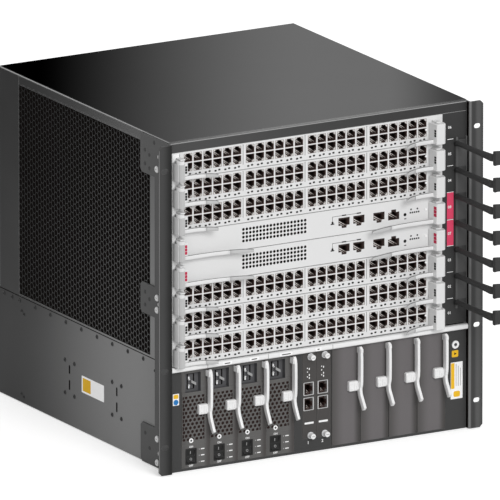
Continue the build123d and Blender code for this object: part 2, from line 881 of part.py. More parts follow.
def fan_module(name, hand):
    """Pull-out fan tray: a deep frame, two fans with hub, arms and blades, and a bow handle."""
    x = hand * fan_x
    lap = fan_gap - joint_gap
    mid_z = fan_z + fan_h / 2
    face = rear_plane(out=rear_step)
    with BuildPart() as tray:
        with BuildSketch(rear_plane(out=seat_gap)):
            with Locations((x, mid_z)):
                Rectangle(fan_w, fan_h)
                Rectangle(fan_w - 2 * sheet, fan_h - 2 * sheet, mode=Mode.SUBTRACT)
        extrude(amount=fan_d)
        with BuildSketch(face):
            with Locations((x, mid_z)):
                Rectangle(fan_w + 2 * lap, fan_h + 2 * lap)
            with Locations((x, mid_z - fan_rise), (x, mid_z + fan_rise)):
                RegularPolygon(fan_r, fan_sides, mode=Mode.SUBTRACT)
                with PolarLocations(0, fan_arms, start_angle=180 / fan_arms):
                    Rectangle(fan_r + 1, fan_arm_w, align=(Align.MIN, Align.CENTER))
        extrude(amount=rear_step - seat_gap)
        with BuildSketch(face):
            with Locations((x, mid_z - fan_rise), (x, mid_z + fan_rise)):
                RegularPolygon(fan_hub_r, fan_hub_sides)
        extrude(amount=fan_hub_d)
        for rise in (-fan_rise, fan_rise):
            hub = Vector(x, pan_rear - fan_blade_in, mid_z + rise)
            for blade in range(fan_blades):
                spoke = Vector(1, 0, 0).rotate(Axis.Y, 360 / fan_blades * blade)
                chord = Vector(0, 1, 0).rotate(Axis((0, 0, 0), spoke), fan_blade_tilt)
                root = Plane(origin=hub + spoke * (fan_hub_r - fan_blade_root), x_dir=chord, z_dir=spoke)
                with BuildSketch(root):
                    Rectangle(fan_blade_w, fan_blade_t)
                extrude(amount=fan_r - fan_tip_gap - fan_hub_r + fan_blade_root)
        with BuildSketch(Plane.XY.offset(mid_z - handle_w / 2)):
            with BuildLine():
                Polyline(
                    (x - handle_l / 2, pan_rear),
                    (x - handle_l / 2, pan_rear + handle_out - handle_bend),
                    (x + handle_bend - handle_l / 2, pan_rear + handle_out),
                    (x + handle_l / 2 - handle_bend, pan_rear + handle_out),
                    (x + handle_l / 2, pan_rear + handle_out - handle_bend),
                    (x + handle_l / 2, pan_rear),
                )
                offset(amount=handle_t, side=Side.RIGHT)
            make_face()
        extrude(amount=handle_w)
    save(tray.part, name)


fan_module("left_fan_module", -1)
fan_module("right_fan_module", 1)
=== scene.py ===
"""Finish of the modular chassis switch: paints, perforations, port inserts, levers, labels and lamps.

Sizes are in millimetres on each face: x to the right, y up, and w out of the face.
"""

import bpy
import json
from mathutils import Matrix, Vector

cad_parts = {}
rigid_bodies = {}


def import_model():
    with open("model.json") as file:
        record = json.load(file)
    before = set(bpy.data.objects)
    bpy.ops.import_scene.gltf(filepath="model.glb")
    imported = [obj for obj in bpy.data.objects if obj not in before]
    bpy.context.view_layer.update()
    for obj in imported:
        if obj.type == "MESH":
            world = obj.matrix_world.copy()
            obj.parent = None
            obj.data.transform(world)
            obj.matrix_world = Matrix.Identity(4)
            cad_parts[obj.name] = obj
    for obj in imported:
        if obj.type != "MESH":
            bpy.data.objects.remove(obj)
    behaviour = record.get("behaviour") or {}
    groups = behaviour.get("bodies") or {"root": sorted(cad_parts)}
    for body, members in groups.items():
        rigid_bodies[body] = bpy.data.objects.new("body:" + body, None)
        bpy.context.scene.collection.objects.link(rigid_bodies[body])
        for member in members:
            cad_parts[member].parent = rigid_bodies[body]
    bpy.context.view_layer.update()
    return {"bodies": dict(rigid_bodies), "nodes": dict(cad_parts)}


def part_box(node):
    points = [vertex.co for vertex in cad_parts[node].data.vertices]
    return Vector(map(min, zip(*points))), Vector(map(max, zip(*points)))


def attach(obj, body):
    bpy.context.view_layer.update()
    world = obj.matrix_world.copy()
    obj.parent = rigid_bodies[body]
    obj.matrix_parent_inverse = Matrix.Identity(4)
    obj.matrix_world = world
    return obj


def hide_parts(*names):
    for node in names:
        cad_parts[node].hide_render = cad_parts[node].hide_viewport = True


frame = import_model()

import copy
import json
import math

import bmesh
import bpy
from mathutils import Matrix, Vector

MM = 0.001

# Card slots and faces
SLOT_PITCH = 35.56
CARDS_FOOT = 142.0
FACE_H = 35.16

# Ports of the line cards
BLOCK_FIRST = 60.0
BLOCK_PITCH = 91.97
BLOCKS = 4
PORTS_ACROSS = 6
PORT_PITCH = 14.5
PORT_ROWS = 12.7
PORT_W = 11.4
PORT_H = 10.6
PORT_D = 12.0
PORT_PLAY = 0.06
BLOCK_RISE = 20.6

# Ports and grille of the control cards
SERVICE_W = 16.6
SERVICE_H = 12.6
NOTCH_W = 7.0
NOTCH_H = 3.4
HOLE_NOTCH = 5.6
SERVICE_PORTS = (255.4, 277.5, 307.5)
TURNED_PORT = 329.5
SERVICE_RISE = 15.6
GRILLE_X = 151.6
GRILLE_RISE = 19.4
GRILLE_ROWS = 4
GRILLE_COLUMNS = 19
GRILLE_PITCH = 5.1
GRILLE_STEP = 5.15
GRILLE_HOLE = 1.95

# Ejector levers
LEVER_H = 27.0
NECK_H = 4.2
BARREL_R = 8.4
BARREL_OUT = 8.7
LEFT_PIVOT = 9.0
RIGHT_PIVOT = 12.2
WING_OUT = 18.5
WING_H = 5.6
MARK_FOOT = (8.5, -7.2)
MARK_HEAD = (6.4, 8.6)

# Power row. SEAT is the play between a bay and what sits in it
POWER_TOP = 133.9
SEAT = 0.2
INLET_X = 17.0
INLET_DROP = 17.0
INLET_W = 23.3
INLET_H = 26.6
INLET_D = 7.0
SOCKET_W = 11.4
SOCKET_H = 20.6
SOCKET_D = 12.0
VENT_X = 17.7
VENT_MID = 69.6
VENT_COLUMNS = 5
VENT_ROWS = 12
VENT_PITCH = 6.33
VENT_RISE = 5.16
VENT_HOLE = 2.35
ROCKER_X = 14.0
ROCKER_RISE = 15.1
ROCKER_H = 16.6
ROCKER_DEPTH = 3.6
ROCKER_TILT = 8.0
ROCKER_DISH = 2.0
CATCH_DROP = 53.5
CATCH_W = 13.4
CATCH_H = 13.0
CATCH_OUT = 5.4
PIVOT_DROP = 6.4
PIVOT_OUT = 6.2
LEVER_DROP = 78.0
LEVER_TIP = 19.4
LEVER_W = 3.8
LEVER_EDGE = 0.9
MONITOR_PORT_X = 9.1
MONITOR_PORTS = (66.8, 46.4)
MONITOR_SCREW_X = 12.1
MONITOR_SCREWS = (3.9, 109.5)

# Left side: seam over the pan, and air holes above it
SEAM_Z = 142.3
SIDE_PITCH = 8.3
SIDE_HOLE = 4.45
SIDE_ROWS = 48
SIDE_COLUMNS = 34
SIDE_FIELD_X = 0.6
SIDE_FIELD_DROP = 4.5

# Ears, comb, jack and fans
EAR_SCREW_ROWS = (21.0, 29.0)
COMB_X = 203.6
FINGER_FIRST = 171.56
FINGERS = 7
FINGER_W = 4.0
COLLAR_OUT = 101.5
CAP_H = 19.5
JACK_INSET = 16.6
JACK_Z = 114.4
FAN_R = 56.0
FAN_RISE = 76.0
GUARD_RINGS = (30.0, 38.5, 47.0)
WIRE_R = 0.9
FAN_SCREW_R = 64.0


def tone(red, green, blue):
    """Linear colour of a screen tone given from 0 to 255."""
    parts = [value / 255 for value in (red, green, blue)]
    linear = [v / 12.92 if v <= 0.04045 else ((v + 0.055) / 1.055) ** 2.4 for v in parts]
    return (*linear, 1.0)


def grey(level):
    return tone(level, level, level)


def metres(values):
    return [value * MM for value in values]


# --- Places


def span(node):
    """Lowest and highest corner of a node, in millimetres."""
    lo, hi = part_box(node)
    return lo / MM, hi / MM


def face_place(origin, right, up):
    """Matrix from a face's own millimetres to the part's frame in metres."""
    right = Vector(right)
    up = Vector(up)
    turn = Matrix((right, up, right.cross(up))).transposed().to_4x4()
    return Matrix.Translation(Vector(origin) * MM) @ turn @ Matrix.Scale(MM, 4)


def turned(degrees, axis="Z"):
    return Matrix.Rotation(math.radians(degrees), 4, axis)


pan_lo, pan_hi = span("lower_pan")
front_y = span("front_bezel")[0].y
cover_top = span("top_cover")[1].z
FRONT = face_place((0, front_y, 0), (1, 0, 0), (0, 0, 1))
LEFT = face_place((pan_lo.x, 0, 0), (0, -1, 0), (0, 0, 1))
RIGHT = face_place((pan_hi.x, 0, 0), (0, 1, 0), (0, 0, 1))
REAR = face_place((0, pan_hi.y, 0), (-1, 0, 0), (0, 0, 1))


# --- Outlines


def rounded(x0, y0, x1, y1, radius=0.0, steps=3):
    """Rectangle with round corners, anticlockwise."""
    if radius <= 0:
        return [(x0, y0), (x1, y0), (x1, y1), (x0, y1)]
    centres = ((x1 - radius, y1 - radius), (x0 + radius, y1 - radius),
               (x0 + radius, y0 + radius), (x1 - radius, y0 + radius))
    points = []
    for corner, (cx, cy) in enumerate(centres):
        for step in range(steps + 1):
            angle = math.pi / 2 * (corner + step / steps)
            points.append((cx + radius * math.cos(angle), cy + radius * math.sin(angle)))
    return points


def around(x, y, half_w, half_h, radius=0.0):
    """Rectangle with round corners, given by its middle."""
    return rounded(x - half_w, y - half_h, x + half_w, y + half_h, radius)


def circle(cx, cy, radius, sides=24, start=0.0):
    turn = 2 * math.pi / sides
    return [(cx + radius * math.cos(start + turn * k), cy + radius * math.sin(start + turn * k))
            for k in range(sides)]


def lifted(outline, w):
    return [(x, y, w) for x, y in outline]


def eased(outline, bevel):
    """Outline drawn in towards its middle by a bevel."""
    cx = sum(x for x, _ in outline) / len(outline)
    cy = sum(y for _, y in outline) / len(outline)
    share_x = 1 - bevel / (max(x for x, _ in outline) - cx)
    share_y = 1 - bevel / (max(y for _, y in outline) - cy)
    return [(cx + (x - cx) * share_x, cy + (y - cy) * share_y) for x, y in outline]


# Corners of a six-sided cell, in shares of its width and of the distance between rows
CELL = ((0, -2 / 3), (0.5, -1 / 3), (0.5, 1 / 3), (0, 2 / 3), (-0.5, 1 / 3), (-0.5, -1 / 3))


# --- Mesh work


def add_object(name, data):
    made = bpy.data.objects.new(name, data)
    bpy.context.scene.collection.objects.link(made)
    return made


class Shape:
    """A mesh with a finish for each face, drawn in the millimetres of a face of the part."""

    def __init__(self, place=FRONT):
        self.place = place
        self.mesh = bmesh.new()
        self.finishes = []

    def on(self, place):
        """The same shape, drawn from another place."""
        other = copy.copy(self)
        other.place = place
        return other

    def number(self, finish):
        if finish not in self.finishes:
            self.finishes.append(finish)
        return self.finishes.index(finish)

    def corners(self, points):
        return [self.mesh.verts.new(self.place @ Vector(point)) for point in points]

    def face(self, verts, number, smooth=False):
        made = self.mesh.faces.new(verts)
        made.material_index = number
        made.smooth = smooth

    def band(self, near, far, number, smooth=False, inside_out=False):
        """Faces between two rings of equal count."""
        for k in range(len(near)):
            after = (k + 1) % len(near)
            verts = (near[k], near[after], far[after], far[k])
            self.face(verts[::-1] if inside_out else verts, number, smooth)

    def loft(self, rings, finish, ends=(True, True), loop=False, smooth=False):
        """Skin over rings of equal count, anticlockwise and rising along w."""
        number = self.number(finish)
        rows = [self.corners(ring) for ring in rings]
        for near, far in zip(rows, rows[1:] + rows[:1] if loop else rows[1:]):
            self.band(near, far, number, smooth)
        if ends[0] and not loop:
            self.face(rows[0][::-1], number)
        if ends[1] and not loop:
            self.face(rows[-1], number)

    def slab(self, outline, w0, w1, finish, bevel=0.0):
        """Prism on an outline, with its front edge eased."""
        rings = [lifted(outline, w0), lifted(outline, w1 - bevel)]
        if bevel > 0:
            rings.append(lifted(eased(outline, bevel), w1))
        self.loft(rings, finish)

    def plate(self, x0, y0, x1, y1, w0, w1, finish, radius=0.0, bevel=0.0):
        self.slab(rounded(x0, y0, x1, y1, radius), w0, w1, finish, bevel)

    def plates(self, x, y, edges, w0, w1, finish, radius=0.0, bevel=0.0):
        """Plates of one finish, whose edges are counted from a point."""
        for left, low, right, high in edges:
            self.plate(x + left, y + low, x + right, y + high, w0, w1, finish, radius, bevel)

    def pad(self, x, y, half_w, half_h, w0, w1, finish, radius=0.0, bevel=0.0):
        """Plate given by its middle."""
        self.slab(around(x, y, half_w, half_h, radius), w0, w1, finish, bevel)

    def disc(self, cx, cy, radius, w0, w1, finish, sides=20, bevel=0.0):
        self.slab(circle(cx, cy, radius, sides), w0, w1, finish, bevel)

    def collar(self, outer, inner, w0, w1, finish):
        """Frame between two outlines of equal count."""
        rings = [lifted(outer, w0), lifted(outer, w1), lifted(inner, w1), lifted(inner, w0)]
        self.loft(rings, finish, loop=True)

    def ring(self, cx, cy, outer, inner, w0, w1, finish, sides=24):
        self.collar(circle(cx, cy, outer, sides), circle(cx, cy, inner, sides), w0, w1, finish)

    def cup(self, outline, w_mouth, w_floor, finish):
        """Inside of a recess: walls that face inwards, and a floor."""
        self.loft([lifted(outline, w_mouth), lifted(outline, w_floor)], finish, ends=(False, True))

    def holes(self, middle, across, rows, pitch, rise, radius, w0, w1, finish, upright=True):
        """Sheet of six-sided cells, each with a hole, in staggered rows."""
        number = self.number(finish)
        rim = [(x * pitch, y * rise) for x, y in CELL]
        hole = circle(0, 0, radius, len(CELL), -math.pi / 2)
        spots = [((column - (across - 1) / 2) * pitch + pitch / 4 * (1 if row % 2 else -1),
                  (row - (rows - 1) / 2) * rise) for row in range(rows) for column in range(across)]
        for cx, cy in spots:
            rings = []
            for outline, w in ((rim, w1), (hole, w1), (hole, w0)):
                moved = [(x + cx, y + cy) if upright else (y + cy, x + cx) for x, y in outline]
                rings.append(self.corners([(x + middle[0], y + middle[1], w) for x, y in moved]))
            for near, far in zip(rings, rings[1:]):
                self.band(near, far, number, inside_out=not upright)

    def words(self, text, x, y, height, w, finish):
        """Flat printed characters, centred on a point."""
        curve = bpy.data.curves.new("print", "FONT")
        curve.body = text
        curve.size = height * 1.38
        curve.offset = height * 0.035
        curve.align_x = "CENTER"
        curve.align_y = "CENTER"
        curve.resolution_u = 2
        carrier = add_object("print", curve)
        bpy.context.view_layer.update()
        seen = carrier.evaluated_get(bpy.context.evaluated_depsgraph_get())
        flat = bpy.data.meshes.new_from_object(seen)
        number = self.number(finish)
        verts = self.corners([(v.co.x + x, v.co.y + y, w) for v in flat.vertices])
        for polygon in flat.polygons:
            self.face([verts[k] for k in polygon.vertices], number)
        bpy.data.objects.remove(carrier)
        bpy.data.meshes.remove(flat)

    def piece(self, name, body, tidy=True):
        """Makes the object, and lets it ride on its body."""
        if tidy:
            bmesh.ops.recalc_face_normals(self.mesh, faces=self.mesh.faces)
        data = bpy.data.meshes.new(name)
        self.mesh.to_mesh(data)
        self.mesh.free()
        for finish in self.finishes:
            data.materials.append(finish)
        made = add_object(name, data)
        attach(made, body)
        return made


# --- Shared effects


def add_node(tree, kind, **settings):
    node = tree.nodes.new("ShaderNode" + kind)
    for label, value in settings.items():
        setattr(node, label, value)
    return node


def wire(tree, *pairs):
    """Feeds each socket on the right from a socket or a plain value on the left."""
    for source, socket in pairs:
        if isinstance(source, bpy.types.NodeSocket):
            tree.links.new(source, socket)
        else:
            socket.default_value = source


def math_node(tree, operation, first, second):
    node = add_node(tree, "Math", operation=operation)
    wire(tree, (first, node.inputs[0]), (second, node.inputs[1]))
    return node.outputs[0]


def vector_node(tree, operation, first, second, result="Value"):
    node = add_node(tree, "VectorMath", operation=operation)
    wire(tree, (first, node.inputs[0]), (second, node.inputs[1]))
    return node.outputs[result]


def range_node(tree, fac, from_low, from_high, to_low, to_high, **settings):
    """Carries a factor from one range of values to another."""
    node = add_node(tree, "MapRange", **settings)
    labels = ("Value", "From Min", "From Max", "To Min", "To Max")
    wire(tree, *zip((fac, from_low, from_high, to_low, to_high), (node.inputs[label] for label in labels)))
    return node.outputs["Result"]


def noise_node(tree, vector, scale, detail):
    node = add_node(tree, "TexNoise")
    given = node.inputs
    wire(tree, (vector, given["Vector"]), (scale, given["Scale"]), (detail, given["Detail"]))
    return node.outputs["Fac"]


def blend_node(tree, share, near, far):
    node = add_node(tree, "Mix", data_type="RGBA")
    wire(tree, (share, node.inputs["Factor"]), (near, node.inputs["A"]), (far, node.inputs["B"]))
    return node.outputs["Result"]


NUMBER = 0.0
ORIGIN = (0, 0, 0)
BLACK = (0, 0, 0, 1)
WHITE = (1, 1, 1, 1)


def effect(name, inputs, outputs):
    """Empty shader group, what it is given and what it gives out. Values tell each socket's kind."""
    group = bpy.data.node_groups.new(name, "ShaderNodeTree")
    for in_out, sockets in (("INPUT", inputs), ("OUTPUT", outputs)):
        for label, value in sockets.items():
            size = 1 if isinstance(value, float) else len(value)
            kind = {1: "NodeSocketFloat", 3: "NodeSocketVector", 4: "NodeSocketColor"}[size]
            group.interface.new_socket(name=label, in_out=in_out, socket_type=kind).default_value = value
    return group, group.nodes.new("NodeGroupInput").outputs, group.nodes.new("NodeGroupOutput").inputs


def grain_effect():
    """Fine uneven surface: colour, roughness and height that wander with a soft cloud and a fine grain."""
    group, given, made = effect(
        "surface_grain",
        {"Vector": ORIGIN, "Colour": WHITE, "Spread": 0.05, "Cloud Scale": 8.0, "Grain Scale": 900.0,
         "Roughness": 0.5, "Roughness Spread": 0.08},
        {"Colour": BLACK, "Roughness": NUMBER, "Height": NUMBER})
    cloud = noise_node(group, given["Vector"], given["Cloud Scale"], 4.0)
    grain = noise_node(group, given["Vector"], given["Grain Scale"], 2.0)
    both = math_node(group, "ADD", math_node(group, "MULTIPLY", cloud, 0.6),
                     math_node(group, "MULTIPLY", grain, 0.4))

    def wander(middle, spread):
        return range_node(group, both, 0.25, 0.75, math_node(group, "SUBTRACT", middle, spread),
                          math_node(group, "ADD", middle, spread))

    tint = add_node(group, "VectorMath", operation="SCALE")
    wire(group, (given["Colour"], tint.inputs[0]), (wander(1.0, given["Spread"]), tint.inputs["Scale"]),
         (tint.outputs["Vector"], made["Colour"]),
         (wander(given["Roughness"], given["Roughness Spread"]), made["Roughness"]), (grain, made["Height"]))
    return group


def fade_effect():
    """Soft change from one colour to another along a line from Start by Run."""
    group, given, made = effect(
        "tone_fade",
        {"Vector": ORIGIN, "Near Colour": WHITE, "Far Colour": BLACK, "Start": ORIGIN, "Run": (0, 0, 1)},
        {"Colour": BLACK, "Mask": NUMBER})
    run = given["Run"]
    away = vector_node(group, "SUBTRACT", given["Vector"], given["Start"], "Vector")
    share = math_node(group, "DIVIDE", vector_node(group, "DOT_PRODUCT", away, run),
                      vector_node(group, "DOT_PRODUCT", run, run))
    mask = range_node(group, share, 0.0, 1.0, 0.0, 1.0, interpolation_type="SMOOTHSTEP")
    mixed = blend_node(group, mask, given["Near Colour"], given["Far Colour"])
    wire(group, (mixed, made["Colour"]), (mask, made["Mask"]))
    return group


def edge_highlight_effect():
    """Painted highlight: colour made lighter along its edges, broken up by a fine noise."""
    group, given, made = effect(
        "painted_edge_highlight",
        {"Vector": ORIGIN, "Colour": WHITE, "Edge Colour": WHITE, "Amount": 0.5},
        {"Colour": BLACK, "Mask": NUMBER})
    soft = add_node(group, "Bevel", samples=4)
    soft.inputs["Radius"].default_value = 1.1 * MM
    true = add_node(group, "NewGeometry")
    match = vector_node(group, "DOT_PRODUCT", soft.outputs["Normal"], true.outputs["Normal"])
    turn = range_node(group, match, 0.995, 0.86, 0.0, 1.0)
    broken = range_node(group, noise_node(group, given["Vector"], 160.0, 3.0), 0.25, 0.75, 0.55, 1.0)
    mask = math_node(group, "MULTIPLY", math_node(group, "MULTIPLY", turn, broken), given["Amount"])
    mixed = blend_node(group, mask, given["Colour"], given["Edge Colour"])
    wire(group, (mixed, made["Colour"]), (mask, made["Mask"]))
    return group


GRAIN = grain_effect()
FADE = fade_effect()
EDGE = edge_highlight_effect()


def place_effect(tree, group, **values):
    """Puts a shared effect in a material. A value may be a constant or another node's socket."""
    node = add_node(tree, "Group", node_tree=group)
    wire(tree, *((value, node.inputs[label.replace("_", " ")]) for label, value in values.items()))
    return node.outputs


def finish(name, colour, spread=0.06, cloud=8.0, grain=900.0, rough=0.5, bump=0.02, metal=0.0, coat=0.0,
           shine=0.3, fades=(), edge=None):
    """Material of one finish. Each fade is (far colour, start, run), and edge is (colour, amount) of a
    painted highlight along the edges.
    """
    material = bpy.data.materials.new(name)
    material.use_nodes = True
    tree = material.node_tree
    shader = tree.nodes["Principled BSDF"].inputs
    where = add_node(tree, "TexCoord").outputs["Object"]
    base = colour
    for far, start, run in fades:
        base = place_effect(tree, FADE, Vector=where, Near_Colour=base, Far_Colour=far,
                            Start=metres(start), Run=metres(run))["Colour"]
    surface = place_effect(tree, GRAIN, Vector=where, Colour=base, Spread=spread, Cloud_Scale=cloud,
                           Grain_Scale=grain, Roughness=rough, Roughness_Spread=0.08)
    shown = surface["Colour"]
    # Painted highlight along the edges
    if edge:
        shown = place_effect(tree, EDGE, Vector=where, Colour=shown, Edge_Colour=edge[0],
                             Amount=edge[1])["Colour"]
    relief = add_node(tree, "Bump")
    wire(tree, (shown, shader["Base Color"]), (surface["Roughness"], shader["Roughness"]),
         (metal, shader["Metallic"]), (coat, shader["Coat Weight"]), (shine, shader["Specular IOR Level"]),
         (bump, relief.inputs["Strength"]), (MM, relief.inputs["Distance"]),
         (surface["Height"], relief.inputs["Height"]), (relief.outputs["Normal"], shader["Normal"]))
    return material


# --- Coats


def side_shade_fades(near):
    """Painted shade: the sides get darker towards the rear and the top."""
    return ((grey(near), (0, 190, 0), (0, -340, 0)), (grey(26), (0, 60, 60), (0, 190, 440)))


# Fade to the pale metal of the parts that stand out of a face
RAISED = (grey(224), (0, front_y - 0.5, 0), (0, -0.3, 0))

# Powder coat of the sides, and of the thin webs between their air holes, both with painted shade towards the
# rear and the top
side_coat = finish("side_paint", grey(59), rough=0.6, bump=0.06, shine=0.12, spread=0.03,
                   fades=side_shade_fades(136), edge=(grey(190), 0.5))
mesh_coat = finish("mesh_paint", grey(52), rough=0.6, bump=0.06, shine=0.12, spread=0.03,
                   fades=side_shade_fades(108))

# Smooth coat of the top, with painted shade: black at the rear left and lighter to the front right
cover_coat = finish("cover_paint", grey(0), spread=0.02, rough=0.7, bump=0.03, shine=0.0,
                    fades=((grey(116), (-222, 128, 0), (320, -183, 0)),
                           (grey(66), (170, -98, 0), (90, -52, 0))), edge=(grey(190), 0.4))

frame_coat = finish("frame_paint", grey(57), rough=0.55, bump=0.06, shine=0.2, spread=0.04,
                    edge=(grey(120), 0.4))

# Coat of the bezel, a little darker to the right
bezel_coat = finish("bezel_paint", grey(65), rough=0.55, bump=0.06, shine=0.2, spread=0.03,
                    fades=((grey(50), (-190, 0, 0), (360, 0, 0)),), edge=(grey(150), 0.4))

# Coat of the left ear, with painted shade that darkens it towards its fold
left_ear_coat = finish("left_ear_paint", grey(62), rough=0.5, bump=0.05, shine=0.15, spread=0.03,
                       fades=((grey(28), (-237, 0, 0), (15, 0, 0)), (grey(78), (0, -232, 0), (0, 3, 0))),
                       edge=(grey(130), 0.3))

# Coat of the right ear, with painted light and shade: a painted highlight on its bend, painted shade inside
# the fold, and lighter and darker bands across the flange
right_ear_coat = finish("right_ear_paint", grey(116), rough=0.5, bump=0.05, shine=0.15, spread=0.03,
                        fades=((grey(58), (222, 0, 0), (3, 0, 0)), (grey(80), (228, 0, 0), (5, 0, 0)),
                               (grey(62), (235, 0, 0), (6, 0, 0))), edge=(grey(140), 0.5))

card_coat = finish("card_paint", grey(212), spread=0.02, rough=0.45, bump=0.03, edge=(grey(246), 0.4))

board_coat = finish("board_paint", tone(66, 64, 63), spread=0.05, rough=0.5, bump=0.05, shine=0.2,
                    fades=(RAISED,), edge=(tone(112, 110, 108), 0.35))

recess_coat = finish("recess_paint", tone(84, 84, 86), spread=0.06, rough=0.5, bump=0.05, shine=0.2)


def module_paint(name):
    """Warm dark coat of one power module, with painted light and shade across it: lighter towards its middle
    and darker at its right edge.
    """
    lo, hi = span(name)
    wide = hi.x - lo.x
    return finish(f"{name}_coat", tone(79, 78, 77), spread=0.05, rough=0.5, bump=0.05, shine=0.2,
                  fades=((tone(90, 89, 88), (lo.x, 0, 0), (wide * 0.4, 0, 0)),
                         (tone(66, 63, 62), (lo.x + wide * 0.76, 0, 0), (wide * 0.22, 0, 0)), RAISED),
                  edge=(tone(128, 124, 122), 0.35))


def filler_paint(name):
    """Coat of one empty slot's cover, with painted light and shade across it: lightest left of its middle and
    darker at its right edge.
    """
    lo, hi = span(name)
    wide = hi.x - lo.x
    return finish(f"{name}_coat", tone(74, 72, 71), spread=0.04, rough=0.5, bump=0.05, shine=0.2,
                  fades=((tone(99, 96, 97), (lo.x - 1, 0, 0), (wide * 0.5, 0, 0)),
                         (tone(62, 60, 59), (lo.x + wide * 0.74, 0, 0), (wide * 0.25, 0, 0)), RAISED),
                  edge=(tone(126, 124, 122), 0.35))


# --- Plastics and metals

# Moulded corners of the ports, paler at the mouth than within, with painted shade that darkens them deeper in
port_grey = finish("port_shell", tone(206, 203, 200), spread=0.05, rough=0.5,
                   fades=((tone(40, 31, 29), (0, front_y + 0.3, 0), (0, 3, 0)),))

# Dark lining of the ports, warm near the mouth, with painted shade that darkens it deeper in
port_black = finish("port_lining", tone(84, 66, 62), spread=0.12, rough=0.5, shine=0.1,
                    fades=((tone(34, 25, 23), (0, front_y, 0), (0, 9, 0)),))

# Satin plastic of the ejector levers, and a greyer copy of it with painted shade for the left blocks
lever_pale = finish("lever_plastic", grey(214), spread=0.03, rough=0.4, bump=0.03, edge=(grey(246), 0.5))
lever_shaded_grey = finish("left_lever_plastic_shaded", grey(176), spread=0.03, rough=0.45, bump=0.03,
                    edge=(grey(206), 0.4))

black = finish("black_plastic", grey(26), spread=0.12, rough=0.4, bump=0.04, shine=0.2,
               edge=(grey(66), 0.4))

# Fingers and caps of the comb, its plate, and the lighter smooth fields of the plate
comb_black = finish("comb_plastic", grey(58), spread=0.1, rough=0.65, bump=0.03, shine=0.12,
                    edge=(grey(92), 0.5))
comb_dark = finish("comb_shadow", grey(66), spread=0.06, rough=0.6, bump=0.03, shine=0.15,
                   fades=((grey(52), (208, 0, 0), (11, 0, 0)),), edge=(grey(98), 0.6))
comb_light = finish("comb_window", grey(88), spread=0.05, rough=0.6, bump=0.02, shine=0.15)

# Painted shade seen through small holes and inside recesses, and the dark seam over the pan
hollow_shade_and_seam = finish("hollow_shade_and_seam_black", tone(12, 9, 8), spread=0.2, rough=0.8, shine=0.02)

steel = finish("plated_steel", tone(214, 215, 217), spread=0.08, cloud=60, rough=0.35, metal=0.6)
cage_zinc = finish("cage_steel", grey(30), spread=0.1, rough=0.6, shine=0.1)
rail_bright = finish("rail_metal", grey(222), spread=0.03, cloud=30, rough=0.35, metal=0.2,
                     edge=(grey(250), 0.4))
handle_metal = finish("handle_steel", grey(224), spread=0.04, cloud=40, rough=0.4, metal=0.1,
                      edge=(grey(240), 0.5))
fan_sheet = finish("fan_steel", grey(150), spread=0.05, rough=0.45, metal=0.4, edge=(grey(190), 0.4))
fan_black = finish("fan_plastic", grey(34), spread=0.1, rough=0.45, bump=0.04, shine=0.2)
green = finish("circuit_green", tone(26, 78, 52), spread=0.15, cloud=70, rough=0.4, coat=0.3)


# --- Prints, small plain tones, and painted highlights and shade


def ink(name, colour):
    return finish(name, colour, spread=0.03, cloud=200, grain=2500, rough=0.6, bump=0.0, shine=0.1)


# Springs of the ports, from the brightest part to the darkest, with painted shade that dims them deeper in
# the port
wire_tones = [ink(f"wire_tone_{k}", colour) for k, colour in enumerate((
    tone(206, 202, 199), tone(176, 169, 165), tone(128, 119, 115), tone(82, 70, 67)))]

comb_field = ink("comb_field", grey(82))
white_ink = ink("white_ink", grey(232))
# Grey print and lines, and the painted shade of small screw recesses and slots
grey_ink_and_shade = ink("grey_ink_and_shade", grey(150))
# Black print and lines, and the painted shade of the reset hole
black_ink_and_shade = ink("black_ink_and_shade", grey(24))
# Dark lines and seams, and the painted shade along the upper edge of the lever wings
line_and_shade_ink = ink("line_and_shade_ink", grey(104))
red_ink = ink("red_ink", tone(178, 44, 74))
pink_label = ink("pink_label", tone(218, 72, 104))
yellow_label = ink("yellow_label", tone(226, 178, 44))
blue_label = ink("blue_label", tone(44, 116, 178))
white_label = ink("white_label", grey(236))
cheek_pale = ink("cheek_pale", grey(232))
# Painted highlight along the outer fold of the left ear
fold_line = ink("fold_line", grey(122))
# Painted highlight along the top edge of the left side
top_line = ink("top_line", grey(176))
# Grey of the monitor port frames, and the painted shade on the outer half of the lever wings
frame_grey_and_tip_shade = ink("frame_grey_and_tip_shade", grey(184))
# Painted shade behind the air holes of the power modules
vent_shade = ink("vent_shade", tone(34, 22, 20))
# Painted shade in the open mouths of the notched ports
port_mouth_shade = ink("port_mouth_shade", tone(46, 37, 35))
side_label = ink("side_label", grey(255))
lamp_off = ink("lamp_off", tone(22, 20, 19))


# --- CAD nodes

CARDS = [name for name in frame["bodies"] if "_card_" in name and not name.endswith("lever")]
LINE_CARDS = [name for name in CARDS if name.startswith("line")]
CONTROL_CARDS = [name for name in CARDS if name.startswith("control")]
POWER_MODULES = [f"power_module_{k}" for k in range(1, 5)]
FILLERS = [f"filler_module_{k}" for k in range(1, 5)]
MONITORS = [f"monitor_board_{k}" for k in range(1, 3)]
FAN_MODULES = ("left_fan_module", "right_fan_module")
module_coats = {name: module_paint(name) for name in POWER_MODULES}


